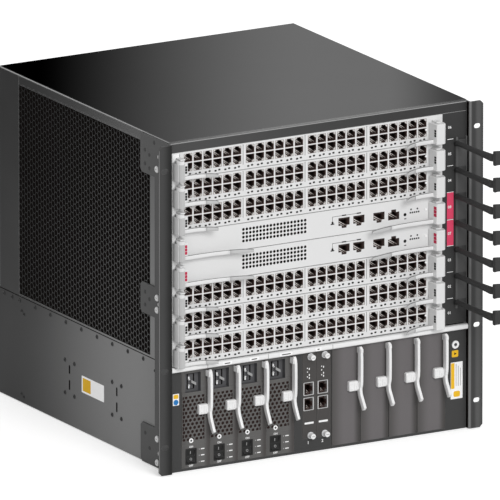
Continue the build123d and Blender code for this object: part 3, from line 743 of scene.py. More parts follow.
def coat_nodes():
    """Gives every node of the solids its finish."""
    coats = (
        (side_coat, "lower_pan", "left_side_panel", "right_side_panel"),
        (cover_coat, "top_cover"),
        (bezel_coat, "front_bezel"),
        (frame_coat, "front_frame", "jack_plate", "rear_frame"),
        (left_ear_coat, "left_ear"),
        (right_ear_coat, "right_ear"),
        (cage_zinc, "card_cage"),
        (green, "backplane"),
        (rail_bright, "label_rail"),
        (comb_black, "cable_comb"),
        (steel, "esd_jack", "ear_screws"),
        (card_coat, *CARDS),
        (lever_shaded_grey, *(f"{card}_left_lever" for card in CARDS)),
        (lever_pale, *(f"{card}_right_lever" for card in CARDS)),
        *((paint, module) for module, paint in module_coats.items()),
        (handle_metal, *(f"{module}_lever" for module in POWER_MODULES)),
        (black, *(f"{module}_rocker" for module in POWER_MODULES)),
        *((filler_paint(filler), filler) for filler in FILLERS),
        (board_coat, *MONITORS),
        (fan_sheet, *FAN_MODULES))
    for paint, *nodes in coats:
        for node in nodes:
            for slot in frame["nodes"][node].material_slots:
                slot.material = paint


# --- Ports


def pale_stripe(shape, start, end, w, half, inks):
    """One slanted spring, with painted shade that dims it away from its start."""
    stops = [tuple(a + (b - a) * k / 3 for a, b in zip(start, end)) for k in range(4)]
    for near, far, used in zip(stops, stops[1:], inks):
        rings = [[(x, y - half, w - 0.1), (x, y + half, w - 0.1), (x, y + half, w), (x, y - half, w)]
                 for x, y in (near, far)]
        shape.loft(rings, used)


def port_insert(shape, x, y, flip):
    """Lining, stepped corners beside the latch notch, and springs. The notch is down unless flipped."""
    port = shape.on(FRONT @ Matrix.Translation((x, y, 0)))
    sign = -1 if flip else 1
    half_w = PORT_W / 2
    half_h = PORT_H / 2
    port.collar(around(0, 0, half_w + 0.45, half_h + 0.3), around(0, 0, half_w - 0.1, half_h - 0.1),
                 -0.4, 0.04, port_black)
    half_w -= PORT_PLAY
    half_h -= PORT_PLAY
    port.cup(around(0, 0, half_w, half_h), -0.3, -PORT_D + 0.1, port_black)
    corner = [(half_w, -half_h), (half_w, -half_h + 3.0), (4.6, -half_h + 3.0), (4.6, -half_h + 1.6),
              (3.1, -half_h + 1.6), (3.1, -half_h)]
    for side in (-1, 1):
        outline = [(side * px, sign * py) for px, py in corner]
        port.slab(outline[::-1] if side * sign < 0 else outline, -PORT_D + 0.3, -0.1, port_grey)
    reach = half_w - 0.3
    if flip:
        stripes = (((-reach, 2.6), (2.8, -2.9)), ((-reach, 0.6), (-0.8, -2.8)))
    else:
        stripes = (((-reach, 2.2), (2.6, -3.4)), ((-reach, 0.1), (-0.4, -3.6)))
    for start, end in stripes:
        pale_stripe(port, start, end, -0.35, 0.42, wire_tones)


def notched_port(shape, x, y, turn, lift=0.0):
    """Mouth of painted shade, lining and springs of a notched port. Turn counts quarter turns from a notch
    below.
    """
    upright = FRONT @ Matrix.Translation((x, y, 0))
    port = shape.on(upright @ turned(90 * turn))
    half_w = SERVICE_W / 2
    half_h = SERVICE_H / 2
    notch = NOTCH_W / 2
    top = half_h + (1.0 if lift == 0 else -0.9)
    low = NOTCH_H - half_h - lift
    tip = -half_h - lift
    mouth = [(-half_w, low), (-notch, low), (-notch, tip), (notch, tip), (notch, low), (half_w, low),
             (half_w, top), (-half_w, top)]
    hole_w = PORT_W / 2 - PORT_PLAY
    hole_h = PORT_H / 2 - PORT_PLAY
    step = NOTCH_H - half_h + PORT_PLAY
    slot = HOLE_NOTCH / 2 - PORT_PLAY
    inner = [(-hole_w, step), (-slot, step), (-slot, -hole_h), (slot, -hole_h), (slot, step),
             (hole_w, step), (hole_w, hole_h), (-hole_w, hole_h)]
    port.collar(mouth, inner, -0.2, 0.1, port_mouth_shade)
    port.cup(inner, 0.0, -PORT_D + 0.1, port_black)
    left = 0.3 - half_w
    drop = -1.4 if turn else 0.0
    inks = wire_tones
    stripes = (((left, 3.4 - drop), (4.4, -4.2 - drop)), ((left, 0.9 - drop), (0.2, -4.2 - drop)))
    if turn == 1:
        inks = wire_tones[1:]
        stripes = (((-3.6, -1.0), (0.6, -6.4)), ((-3.6, -3.6), (-1.4, -6.6)))
    for start, end in stripes:
        pale_stripe(shape.on(upright), start, end, 0.14, 0.5, inks)


# --- Cards


def card_marks(trim, lo, hi):
    """Plate, hairlines and cheek at the ends of a card."""
    top = lo.z + FACE_H
    trim.plate(lo.x + 24, lo.z + 0.15, hi.x - 32, lo.z + 0.7, -0.2, 0.05, line_and_shade_ink)
    trim.plate(lo.x + 1.2, top - 11.4, lo.x + 10.4, top - 1.6, -0.2, 0.5, white_label, 0.8, 0.2)
    trim.plate(lo.x + 11.2, top - 11.0, lo.x + 11.7, top - 2.4, -0.2, 0.06, black_ink_and_shade)
    trim.disc(hi.x - 24.5, lo.z + 17.5, 1.5, -0.2, 0.9, white_label, 12, 0.3)
    cheek = face_place((lo.x + 0.45, front_y, lo.z), (0, -1, 0), (0, 0, 1))
    outline = [(0, 0.6), (15.6, 0.6), (16.4, 1.8), (16.4, 22.2), (15.6, 23.4), (0, 23.4)]
    trim.on(cheek).slab(outline, -0.4, 0, cheek_pale)


def line_card_front(card):
    """Port inserts, block edges, lamps and small plates of one line card."""
    lo, hi = span(card)
    blocks = [lo.x + BLOCK_FIRST + BLOCK_PITCH * k for k in range(BLOCKS)]
    columns = [block + (column - (PORTS_ACROSS - 1) / 2) * PORT_PITCH for block in blocks
               for column in range(PORTS_ACROSS)]
    ports = Shape()
    for x in columns:
        port_insert(ports, x, lo.z + BLOCK_RISE + PORT_ROWS / 2, True)
        port_insert(ports, x, lo.z + BLOCK_RISE - PORT_ROWS / 2, False)
    ports.piece(f"{card}_ports", card, tidy=False)
    trim = Shape()
    for x in columns:
        for side in (-1, 1):
            trim.pad(x + side * 2.8, lo.z + 4.55 + side * 0.4, 1.6, 1.15, -0.3, 0.08, lamp_off, 0.8)
    for block in blocks[1:]:
        edge = block - BLOCK_PITCH / 2
        trim.plate(edge - 1.1, lo.z + 7.2, edge - 0.4, hi.z - 1.2, -0.2, 0.06, line_and_shade_ink)
        trim.plate(edge + 0.2, lo.z + 7.2, edge + 1.6, hi.z - 1.2, -0.2, 0.35, card_coat, bevel=0.2)
    card_marks(trim, lo, hi)
    trim.piece(f"{card}_trim", card)


def grille(trim, x, y):
    """Rows of air holes drawn as dark discs of painted shade on a plain field."""
    trim.pad(x, y, 50, 12, -1.6, 0.04, card_coat)
    for row in range(GRILLE_ROWS):
        for column in range(GRILLE_COLUMNS):
            trim.disc(x + (column - (GRILLE_COLUMNS - 1) / 2) * GRILLE_PITCH,
                      y + (row - (GRILLE_ROWS - 1) / 2) * GRILLE_STEP, GRILLE_HOLE, -0.4, 0.09, hollow_shade_and_seam, 10)


def control_card_front(card):
    """Fine air grille, service ports, lamps and reset hole of one control card."""
    lo, hi = span(card)
    trim = Shape()
    grille(trim, lo.x + GRILLE_X, lo.z + GRILLE_RISE)
    for at in SERVICE_PORTS:
        notched_port(trim, lo.x + at, lo.z + SERVICE_RISE, 0)
    notched_port(trim, lo.x + TURNED_PORT, lo.z + SERVICE_RISE, 2, lift=1.7)
    # Among these discs, the reset hole is a black disc of painted shade
    for at, rise, radius, w0, w1, used, sides in (
            (355.5, 20.4, 1.25, -0.3, 0.1, black_ink_and_shade, 12), (364.9, 20.4, 1.25, -0.3, 0.1, black_ink_and_shade, 12),
            (346.5, 14.6, 2.2, -0.3, 0.08, black_ink_and_shade, 14), (238.2, 18.2, 1.5, -0.2, 0.06, lamp_off, 10)):
        trim.disc(lo.x + at, lo.z + rise, radius, w0, w1, used, sides)
    for mark in range(5):
        trim.pad(lo.x + 354.5 + 3.1 * mark, lo.z + 16.1, 1.1, 1.1, -0.2, 0.06, lamp_off, 0.3)
    for at in SERVICE_PORTS[:2]:
        trim.pad(lo.x + at, lo.z + 26.0, 3.2, 0.8, -0.2, 0.06, lamp_off, 0.3)
    lines = ((238.0, 25.6, 274.0, 26.1), (238.0, 18.6, 238.5, 26.1))
    trim.plates(lo.x, lo.z, lines, -0.2, 0.05, lamp_off)
    trim.pad(lo.x + 346.9, lo.z + 9.0, 1.7, 0.6, -0.2, 0.06, lamp_off, 0.3)
    trim.pad(lo.x + 238.2, lo.z + 16.2, 2.8, 0.8, -0.2, 0.06, lamp_off, 0.6)
    card_marks(trim, lo, hi)
    trim.piece(f"{card}_trim", card, tidy=False)


# --- Ejector levers


def bowed(points, steps=4):
    """Smooth curve through points, by Catmull-Rom spans."""
    padded = [points[0], *points, points[-1]]
    curve = []
    for a, b, c, d in zip(padded, padded[1:], padded[2:], padded[3:]):
        for step in range(steps):
            t = step / steps
            curve.append(tuple(
                q + (r - p) * t / 2 + (2 * p - 5 * q + 4 * r - s) * t ** 2 / 2
                + (3 * q - p - 3 * r + s) * t ** 3 / 2 for p, q, r, s in zip(a, b, c, d)))
    curve.append(points[-1])
    return curve


def swept(points, section, set_point):
    """Rings of a section carried square to a flat line of points."""
    rings = []
    last = len(points) - 1
    for k, (x, y) in enumerate(points):
        px, py = points[min(k + 1, last)]
        qx, qy = points[max(k - 1, 0)]
        length = math.hypot(px - qx, py - qy)
        nx, ny = (qy - py) / length, (px - qx) / length
        rings.append([set_point(x + nx * u, y + ny * u, v) for u, v in section(k / last)])
    return rings


def barrel_outline(hand):
    """Plan of a lever's block. The left one is round where it turns inside its cheek."""
    angles = [math.radians(180 + 15 * k) for k in range(7)]
    back = [(BARREL_R * math.cos(angle), BARREL_R * math.sin(angle)) for angle in angles]
    if hand < 0:
        return [(0.6, 8.0), (-3.0, 7.9), (-6.0, 6.1), (-8.0, 2.6), *back, (2.4, -8.0), (4.6, -7.7),
                (5.0, -7.2), (4.8, -3.6), (2.7, 4.4)]
    return [(5.4, 9.7), (-4.6, 9.7), (-7.0, 8.2), (-8.2, 4.6), *back, (4.0, -8.0), (8.1, -7.7), MARK_FOOT,
            MARK_HEAD]


def lever_wing(lever, reach, up):
    """Wing with painted shade on it: a dark upper edge and a grey tip."""
    tip = WING_OUT - BARREL_OUT
    line = bowed([(4.0, -1.0), (reach * 0.3, -1.6), (reach * 0.55, -0.4), (reach * 0.8, 3.6),
                  (reach * 0.93, tip - 3.0), (reach - 0.8, tip - 1.4)])

    def height(share):
        return WING_H * (1 - 0.3 * share ** 3)

    def section(share):
        thick = 2.9 - 1.5 * share
        return rounded(-thick, 0, thick, height(share), 0.9, 2)

    def lip(share):
        top = height(share)
        return rounded(1.2 - 0.6 * share, top - 0.5, 2.6 - 1.4 * share, top + 0.1)

    def set_point(x, y, v):
        return x, y, v * up

    rings = swept(line, section, set_point)
    # The grey outer half and the dark lip along the upper edge are painted shade
    cut = len(rings) // 2
    lever.loft(rings[:cut + 1], lever_pale, smooth=True)
    lever.loft(rings[cut:], frame_grey_and_tip_shade, smooth=True)
    lever.loft(swept(line, lip, set_point), line_and_shade_ink)


def mark_ink(card):
    return red_ink if card in CONTROL_CARDS else black_ink_and_shade


def wing_plate(lever, card, up):
    """White plate with a plain printed field, beside the left block."""
    foot, tall, wide = (7.6, 13.0, 4.2) if card in CONTROL_CARDS else (8.6, 10.4, 3.0)
    bars = [(2.9, 0.2, 8.9, 0.8, 5.2, 22.4, lever_pale)]
    for step in range(3):
        low = foot + tall / 3 * step
        bars.append((8.1 - wide, 0.7, 8.1, 0.92, low, low + tall / 3 - 0.5, mark_ink(card)))
    for x0, y0, x1, y1, z0, z1, used in bars:
        corners = rounded(x0, y0, x1, y1)
        lever.loft([lifted(corners, z0 * up), lifted(corners, z1 * up)], used)


def lever_mark(lever, card):
    """Plain printed field on the inner side of a right lever's block."""
    tall, half = (14.0, 2.9) if card in CONTROL_CARDS else (10.0, 1.9)
    foot = Vector(MARK_FOOT)
    run = (Vector(MARK_HEAD) - foot).normalized()
    out = Vector((run.y, -run.x))
    mid = foot + run * 13.2
    corners = [mid - run * half - out * 0.1, mid - run * half + out * 0.12, mid + run * half + out * 0.12,
               mid + run * half - out * 0.1]
    for step in range(3):
        low = 10.0 + tall / 3 * step
        lever.loft([lifted(corners, low), lifted(corners, low + tall / 3 - 0.5)], mark_ink(card))


def card_lever(card, hand):
    """Block with a flat front, and a wing that sweeps out to its tip."""
    name = f"{card}_{'left' if hand < 0 else 'right'}_lever"
    card_lo, card_hi = span(card)
    lo, hi = span(name)
    pivot = card_lo.x + LEFT_PIVOT if hand < 0 else card_hi.x - RIGHT_PIVOT
    place = face_place((pivot, front_y - BARREL_OUT, lo.z), (-hand, 0, 0), (0, -1, 0))
    # The left blocks take the copy of the plastic with painted shade
    paint = lever_shaded_grey if hand < 0 else lever_pale
    block_h = LEVER_H - NECK_H if hand < 0 else LEVER_H
    lever = Shape(place)
    outline = barrel_outline(hand)
    soft = [(x * 0.95, y * 0.95) for x, y in outline]
    lever.loft([lifted(soft, 0.0), lifted(outline, 0.5 * hand),
                       lifted(outline, (block_h - 0.5) * hand), lifted(soft, block_h * hand)], paint)
    lever_wing(lever, hi.x - pivot if hand < 0 else pivot - lo.x, hand)
    if hand < 0:
        neck = [(x * 0.86, y * 0.86) for x, y in outline]
        lever.loft([lifted(neck, (block_h - 0.5) * hand), lifted(neck, LEVER_H * hand)], lever_pale)
        wing_plate(lever, card, hand)
    else:
        lever_mark(lever, card)
    made = lever.piece(name + "_moulding", name)
    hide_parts(name)


# --- Left side


def left_panel():
    """Left side panel with its fine field of six-sided air holes, over a black sheet of painted shade."""
    lo, hi = span("left_side_panel")
    thick = hi.x - lo.x
    rise = SIDE_PITCH * math.sqrt(3) / 2
    wide = (SIDE_ROWS - 1) * rise
    tall = (SIDE_COLUMNS - 0.5) * SIDE_PITCH
    mid_x = SIDE_FIELD_X
    mid_y = (lo.z + hi.z) / 2 - SIDE_FIELD_DROP
    panel = Shape(LEFT)
    panel.holes((mid_x, mid_y), SIDE_COLUMNS, SIDE_ROWS, SIDE_PITCH, rise, SIDE_HOLE, -0.32, -0.02,
                mesh_coat, upright=False)
    x0 = mid_x - wide / 2 - SIDE_PITCH * 0.5
    x1 = mid_x + wide / 2 + SIDE_PITCH * 0.5
    y0 = mid_y - tall / 2 - SIDE_HOLE * 0.4
    y1 = mid_y + tall / 2 + SIDE_HOLE * 0.4
    panel.plate(-hi.y, lo.z, x0, hi.z, -thick, 0, side_coat, bevel=0.3)
    panel.plate(x1, lo.z, -lo.y, hi.z, -thick, 0, side_coat, bevel=0.3)
    panel.plate(x0, lo.z, x1, y0, -thick, 0, side_coat)
    panel.plate(x0, y1, x1, hi.z, -thick, 0, side_coat)
    panel.plate(x0 - 2, y0 - 2, x1 + 2, y1 + 2, -thick, -0.4, hollow_shade_and_seam)
    made = panel.piece("left_vented_panel", "chassis", tidy=False)
    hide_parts("left_side_panel")


def side_screw(shape, x, y, radius=3.0, metal=black):
    """Low pan head with a cross recess drawn as dark marks of painted shade."""
    shape.disc(x, y, radius, -0.4, 0.75, metal, 14, bevel=0.45)
    for half_w, half_h in ((radius * 0.5, 0.35), (0.35, radius * 0.5)):
        shape.pad(x, y, half_w, half_h, 0.6, 0.8, hollow_shade_and_seam)


def left_fixings():
    """Screw row under the side panel, and the fixings and slots of the lower pan."""
    screws = Shape(LEFT)
    for y in (213.75, 192.5, 172.5, 130.75, 90, 48.75, 7.5, -33.75, -74.25, -115, -155.75):
        side_screw(screws, -y, SEAM_Z - 5.3)
    for y, z in ((-186, 128), (166.75, 124.25), (160.5, 121), (167.5, 12), (161.25, 9)):
        side_screw(screws, -y, z, 2.2)
    for y in (51.25, 26.25, -73.75, -98):
        for z in (86, 42):
            side_screw(screws, -y, z)
    for y in (39.25, -85.75):
        for z0, z1 in ((69.5, 81.5), (48, 61.5)):
            screws.plate(-y - 1.8, z0, -y + 1.8, z1, -0.3, 0.03, hollow_shade_and_seam, 1.7)
    screws.plate(-6.75, 53, 52, 75.5, -0.1, 0.12, side_label, 1.0)
    screws.plate(-4.0, 55.5, 17, 73, 0.0, 0.18, yellow_label, 1.0)
    screws.plate(2.0 - pan_hi.y, SEAM_Z, 188, SEAM_Z + 1.3, -0.2, 0.03, hollow_shade_and_seam)
    # Painted highlight along the top edge of the side
    screws.plate(1.0 - pan_hi.y, cover_top - 1.5, -front_y - 1, cover_top - 0.3, -0.2, 0.1, top_line)
    screws.piece("left_side_fixings", "chassis")


# --- Front frame, strip, rail and ears


def slot_strip():
    """Slot numbers, ticks and the two coloured fields beside the cards."""
    strip = Shape()
    for z0, z1 in ((248.0, 283.1), (283.9, 320.0)):
        strip.plate(191.8, z0, 201.6, z1, -0.2, 0.12, pink_label, 0.5)
        strip.plate(191.8, z1 - 0.5, 201.6, z1 + 0.3, -0.1, 0.16, white_ink, 0.3)
    strip.plate(191.8, 247.6, 201.6, 248.4, -0.1, 0.16, white_ink, 0.3)
    for slot, label in enumerate(("01", "02", "03", "07", "08", "04", "05", "06")):
        low = CARDS_FOOT + SLOT_PITCH * slot
        strip.words(label, 195.6, low + FACE_H - 19.3, 3.7, 0.2, white_ink)
        if slot in (0, 1, 6, 7):
            strip.pad(196.6, low if slot > 3 else low + FACE_H, 4.4, 0.4, -0.2, 0.1, white_ink)
    strip.plate(185.4, 426.3, 220.4, 426.8, -0.2, 0.06, grey_ink_and_shade)
    strip.plate(-220.4, 438.2, 220.4, 439.3, -0.2, 0.06, grey_ink_and_shade)
    strip.piece("slot_numbers", "chassis", tidy=False)


def rail_labels():
    """Blank label holders on the bright rail."""
    out = front_y - span("label_rail")[0].y
    labels = Shape()
    for x0, x1 in ((-146, -132), (-106, -92), (-61, -42), (-8, 1)):
        labels.plate(x0, 135.6, x1, 140.2, out - 0.4, out + 0.25, white_label, 0.8, 0.15)
        labels.plate(x0 + 3.0, 137.1, x1 - 3.0, 138.4, out, out + 0.32, lamp_off, 0.4)
    for x in (-168, -78, 18):
        labels.plate(x - 0.3, 134.9, x + 0.3, 141.0, out - 0.4, out + 0.12, grey_ink_and_shade)
    labels.piece("rail_labels", "chassis")


def ear_heads():
    """Cross recesses, drawn as grey marks of painted shade, and washers of the ear screws; a painted
    highlight along the left ear's fold; and a black sheet of painted shadow inside the right ear's fold.
    """
    heads = Shape()
    near, far = EAR_SCREW_ROWS
    for place, sign in ((LEFT, 1), (RIGHT, -1)):
        for row, z in ((far, 7.5), (near, 21.25), (far, 39.25), (far, 211.75), (near, 220.5), (far, 228.0),
                       (far, 399.5), (near, 417.5)):
            x = sign * (-front_y - row)
            heads.on(place).disc(x, z, 4.4, 2.0, 3.9, white_label, 18, bevel=0.9)
            for half_w, half_h in ((1.7, 0.35), (0.35, 1.7)):
                heads.on(place).pad(x, z, half_w, half_h, 3.7, 3.98, grey_ink_and_shade)
    for y, z in ((-163.75, 418.25), (-175, 414), (-163.75, 400), (-175, 396), (-188, 433), (-163.75, 228.75),
                 (-175, 221.25), (-163.75, 211.75), (-163.75, 40), (-175, 22)):
        heads.on(LEFT).disc(-y, z, 2.8, 1.6, 2.3, black, 14, bevel=0.3)
    lo, hi = span("left_ear")
    out = front_y - lo.y
    # Painted highlight along the left ear's outer fold
    heads.plate(lo.x + 0.1, lo.z + 5, lo.x + 0.8, hi.z - 5, out - 0.3, out + 0.06, fold_line)
    lo, hi = span("right_ear")
    inner = face_place((pan_hi.x, 0, 0), (0, -1, 0), (0, 0, 1))
    # Black sheet of painted shadow inside the right ear's fold
    heads.on(inner).plate(-front_y + 0.1, lo.z + 0.3, -lo.y - 2.4, hi.z - 0.3, 0.02, 0.1, hollow_shade_and_seam)
    made = heads.piece("ear_screw_heads", "chassis")
    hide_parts("ear_screws")


# --- Comb

# Distance from the face and half width of a finger, from its foot to its tip
FINGER_RINGS = ((2.6, 4.2), (5, 3.4), (9, 3.3), (60, 3.9), (84, 4.8), (90, 5.1), (94, 4.5), (97, 2.4),
                (COLLAR_OUT, 2.0))


def comb_finger(comb, z):
    """Round finger that rises a little towards its end, with a bent cap across it."""
    middle = COMB_X + FINGER_W / 2
    rings = [[(middle + u * half, z + 0.012 * w + v * half, w) for u, v in circle(0, 0, 1, 16)]
             for w, half in FINGER_RINGS]
    comb.loft(rings, comb_black, smooth=True)
    bend = bowed([(COMB_X - 1.0, 100.6), (COMB_X + 3.0, 100.2), (COMB_X + 9.0, 101.8), (COMB_X + 18.0, 104.5),
                  (COMB_X + 26.4, 107.6)])

    def section(share):
        return around(0, z + 3, 2.9 - 0.9 * share, CAP_H / 2 * (1 - 0.1 * share), 1.8)

    comb.loft(swept(bend, section, lambda x, w, v: (x, v, w + 2.2)), comb_black, smooth=True)


def cable_comb():
    """Comb: windowed plate, round fingers, collars and bent caps."""
    comb = Shape()
    x0 = COMB_X
    fingers = [FINGER_FIRST + SLOT_PITCH * k for k in range(FINGERS)]
    low, high = fingers[0] - 8.5, fingers[-1] + 8.5
    comb.plate(x0, low, x0 + 3.2, high, -0.2, 3.0, comb_light, 1.5, 0.5)
    comb.plate(x0 + 15.2, low, x0 + 17, high, -0.2, 3.0, comb_light, 1.0, 0.5)
    for z in fingers:
        comb.plate(x0 + 1, z - 4.6, x0 + 16.6, z + 4.6, -0.2, 2.9, comb_dark, 2.2, 0.4)
    for z in fingers[:-1]:
        above = z + SLOT_PITCH
        comb.plate(x0 + 2.6, z + 3.0, x0 + 15.8, above - 3.0, -0.2, 2.8, comb_field, 2.0)
        comb.plate(x0 + 13.6, z + 6.0, x0 + 14.6, above - 6.0, 2.7, 2.95, comb_light, 0.6)
    for z in fingers:
        comb_finger(comb, z)
    made = comb.piece("cable_comb_moulding", "chassis")
    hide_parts("cable_comb")


def front_labels():
    """Ring of the antistatic jack, and plain colour fields on the margins."""
    x = pan_hi.x - JACK_INSET
    fields = Shape()
    fields.ring(x, JACK_Z, 5.0, 2.3, 0.9, 1.7, white_label, 28)
    fields.ring(x, JACK_Z, 2.6, 2.05, 0.5, 1.5, black, 20)
    fields.pad(x, 101.9, 4.8, 4.5, -0.2, 0.1, yellow_label, 1.2)
    fields.disc(x, 101.9, 2.2, -0.1, 0.16, black_ink_and_shade, 3)
    fields.plate(198, 41, 215.8, 90.4, -0.2, 0.1, white_label, 0.6)
    fields.plate(198.4, 55.0, 203.6, 89.4, -0.1, 0.16, yellow_label, 0.4)
    for line in range(3):
        left = 205.6 + 3.2 * line
        fields.plate(left, 58.0, left + 0.9, 88.0 - 3 * line, -0.1, 0.16, grey_ink_and_shade, 0.3)
    fields.plate(202.2, 43.6, 212.0, 51.4, -0.1, 0.16, yellow_label, 2.4)
    fields.plate(-216.6, 89.5, -207.4, 105, -0.2, 0.1, white_label, 0.5)
    fields.plate(-215.6, 98.4, -208.4, 104, -0.1, 0.16, yellow_label, 1.6)
    fields.disc(-212.0, 93.6, 3.7, -0.1, 0.16, blue_label, 20)
    fields.piece("front_labels", "chassis")


# --- Power row


def catch_block(shape, hi):
    """Pale ramped catch with a small relief, beside the lever of a bay."""
    x = hi.x - LEVER_EDGE - LEVER_W - 0.2 - CATCH_W
    z = POWER_TOP - CATCH_DROP
    half = CATCH_H / 2 + 0.15
    shape.plate(x - 0.15, z - half, x + CATCH_W + 0.1, z + half, 0.02, CATCH_OUT + 0.4, handle_metal,
                1.8, 1.2)
    relief = ((2.6, 2.6, 4.4, 4.4), (2.6, -4.4, 4.4, -2.6), (6.4, -4.6, 7.6, 4.6), (9.4, -4.2, 11.2, 1.0))
    shape.plates(x, z, relief, CATCH_OUT, CATCH_OUT + 0.9, lever_pale, 0.6, 0.25)


def swing_handle(name, body, hi):
    """Bowed flat lever of a bay, in one smooth sweep."""
    place = face_place((hi.x - LEVER_EDGE + 0.1, front_y, POWER_TOP - PIVOT_DROP), (0, -1, 0), (0, 0, 1))
    line = bowed([(PIVOT_OUT - 2.0, 4.4), (PIVOT_OUT - 0.4, 0), (PIVOT_OUT + 0.6, -10),
                  (PIVOT_OUT + 0.6, -34), (PIVOT_OUT + 0.2, -44), (PIVOT_OUT - 1.4, -51),
                  (PIVOT_OUT + 0.6, -60), (PIVOT_OUT + 5.6, -69), (LEVER_TIP - 3.0, -LEVER_DROP + 1.0)])

    def section(share):
        half = 4.4 - 1.5 * max(0.0, share - 0.55) / 0.45 - 1.8 * max(0.0, 0.12 - share) / 0.12
        return rounded(-half, 0, half, LEVER_W, 0.7)

    handle = Shape(place)
    handle.loft(swept(line, section, lambda w, y, v: (w, y, v)), handle_metal, smooth=True)
    handle.disc(PIVOT_OUT, 0, 2.1, -0.2, LEVER_W + 0.25, steel, 14, bevel=0.2)
    return handle.piece(name, body)


def vent_panel(front, x, paint):
    """Sheet of six-sided air holes in a plain frame, over a dark back of painted shade."""
    mid = x + VENT_X
    z = VENT_MID
    front.plate(x + 1.6, z - 30.5, x + 33.8, z + 30.0, -0.5, 0.03, vent_shade, 1.0)
    front.holes((mid, z), VENT_COLUMNS, VENT_ROWS, VENT_PITCH, VENT_RISE, VENT_HOLE, 0.03, 0.4, paint)
    front.collar(rounded(x + 0.5, z - 36, x + 36.2, z + 34.6, 0.8), around(mid, z, 17.2, 29.8, 0.8),
                 -0.3, 0.44, paint)


def mains_inlet(front, x, z):
    """Recess with a socket of dark painted shade, an earth clip and two bright angled prongs."""
    half_h = SOCKET_H / 2 - 0.1
    socket = around(x, z, SOCKET_W / 2 - 0.1, half_h, 0.8)
    front.cup(around(x, z, INLET_W / 2 - 0.1, INLET_H / 2 - 0.1, 1.0), 0.03, -INLET_D + 0.15, recess_coat)
    front.collar(socket, around(x, z, 3.8, half_h - 0.4, 0.8), -INLET_D - 1.2, -INLET_D + 0.3, hollow_shade_and_seam)
    front.cup(socket, -INLET_D + 0.1, -INLET_D - SOCKET_D + 0.3, hollow_shade_and_seam)
    front.pad(x, z, 3.8, half_h - 0.4, -INLET_D - 11, -INLET_D - 0.9, hollow_shade_and_seam, 0.6)
    clip = [(x - 1.6, z + 3.4), (x - 1.6, z - 0.4), (x + 5.4, z - 4.6), (x + 5.4, z - 0.9)]
    front.slab(clip, -2.8, -1.2, grey_ink_and_shade)
    prongs = ((-3.9, 2.6, -2.1, 6.8), (-3.4, 2.2, -1.2, 3.8),
              (-3.9, -8.8, -2.1, -4.6), (-3.4, -5.2, -1.6, -3.8))
    front.plates(x, z, prongs, -INLET_D + 0.2, -INLET_D + 1.6, white_label, 0.4)


def power_front(module):
    """Fine vent, inlet socket, catch, ring screw, lamps and printed marks of a power module."""
    lo, hi = span(module)
    x = lo.x - SEAT
    front = Shape()
    vent_panel(front, x, module_coats[module])
    mains_inlet(front, x + INLET_X, POWER_TOP - INLET_DROP)
    catch_block(front, hi)
    front.ring(x + 13.8, 39.7, 3.1, 1.5, 0.3, 1.1, white_label, 20)
    front.disc(x + 13.8, 39.7, 1.5, 0.2, 0.8, frame_coat, 12)
    front.words("ON", x + ROCKER_X, 31.4, 2.7, 0.52, white_ink)
    front.words("OFF", x + ROCKER_X, 5.9, 2.7, 0.12, white_ink)
    for rise in (26.6, 18.3, 9.7):
        front.disc(x + 26.2, rise, 0.8, -0.2, 0.2, grey_ink_and_shade, 10)
        front.pad(x + 31.3, rise, 2.7, 0.65, -0.2, 0.08, white_ink, 0.5)
    front.collar(around(x + ROCKER_X, 18.5, 8.2, 10.6, 0.6), around(x + ROCKER_X, 18.6, 6.8, 9.0, 0.3),
                 -0.2, 0.5, black)
    front.piece(f"{module}_front", module, tidy=False)
    made = swing_handle(f"{module}_handle", f"{module}_lever", hi)
    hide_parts(f"{module}_lever")


def rocker_marks(module):
    """Printed line and ring on the rocker's two halves."""
    lo = span(module)[0]
    hinge = (lo.x - SEAT + ROCKER_X, front_y + ROCKER_DEPTH, lo.z + ROCKER_RISE)
    tip = face_place(hinge, (1, 0, 0), (0, 0, 1)) @ turned(-ROCKER_TILT, "X")
    middle = tip @ Matrix.Translation((0, 0, ROCKER_DEPTH - ROCKER_DISH))
    slope = math.degrees(math.atan2(ROCKER_DISH, ROCKER_H / 2))
    marks = Shape()
    marks.on(middle @ turned(slope, "X")).pad(0, 4.4, 0.45, 2.0, -0.1, 0.12, grey_ink_and_shade)
    marks.on(middle @ turned(-slope, "X")).ring(0, -4.5, 1.7, 1.1, -0.1, 0.12, grey_ink_and_shade, 18)
    marks.piece(f"{module}_rocker_marks", f"{module}_rocker")


def filler_front(filler):
    """Catch and fixed handle of an empty slot's cover."""
    lo, hi = span(filler)
    front = Shape()
    front.plate(lo.x + 0.2, lo.z + 0.4, lo.x + 0.9, hi.z - 0.4, -0.4, 0.06, black_ink_and_shade)
    catch_block(front, hi)
    front.piece(f"{filler}_front", filler)
    swing_handle(f"{filler}_handle", filler, hi)


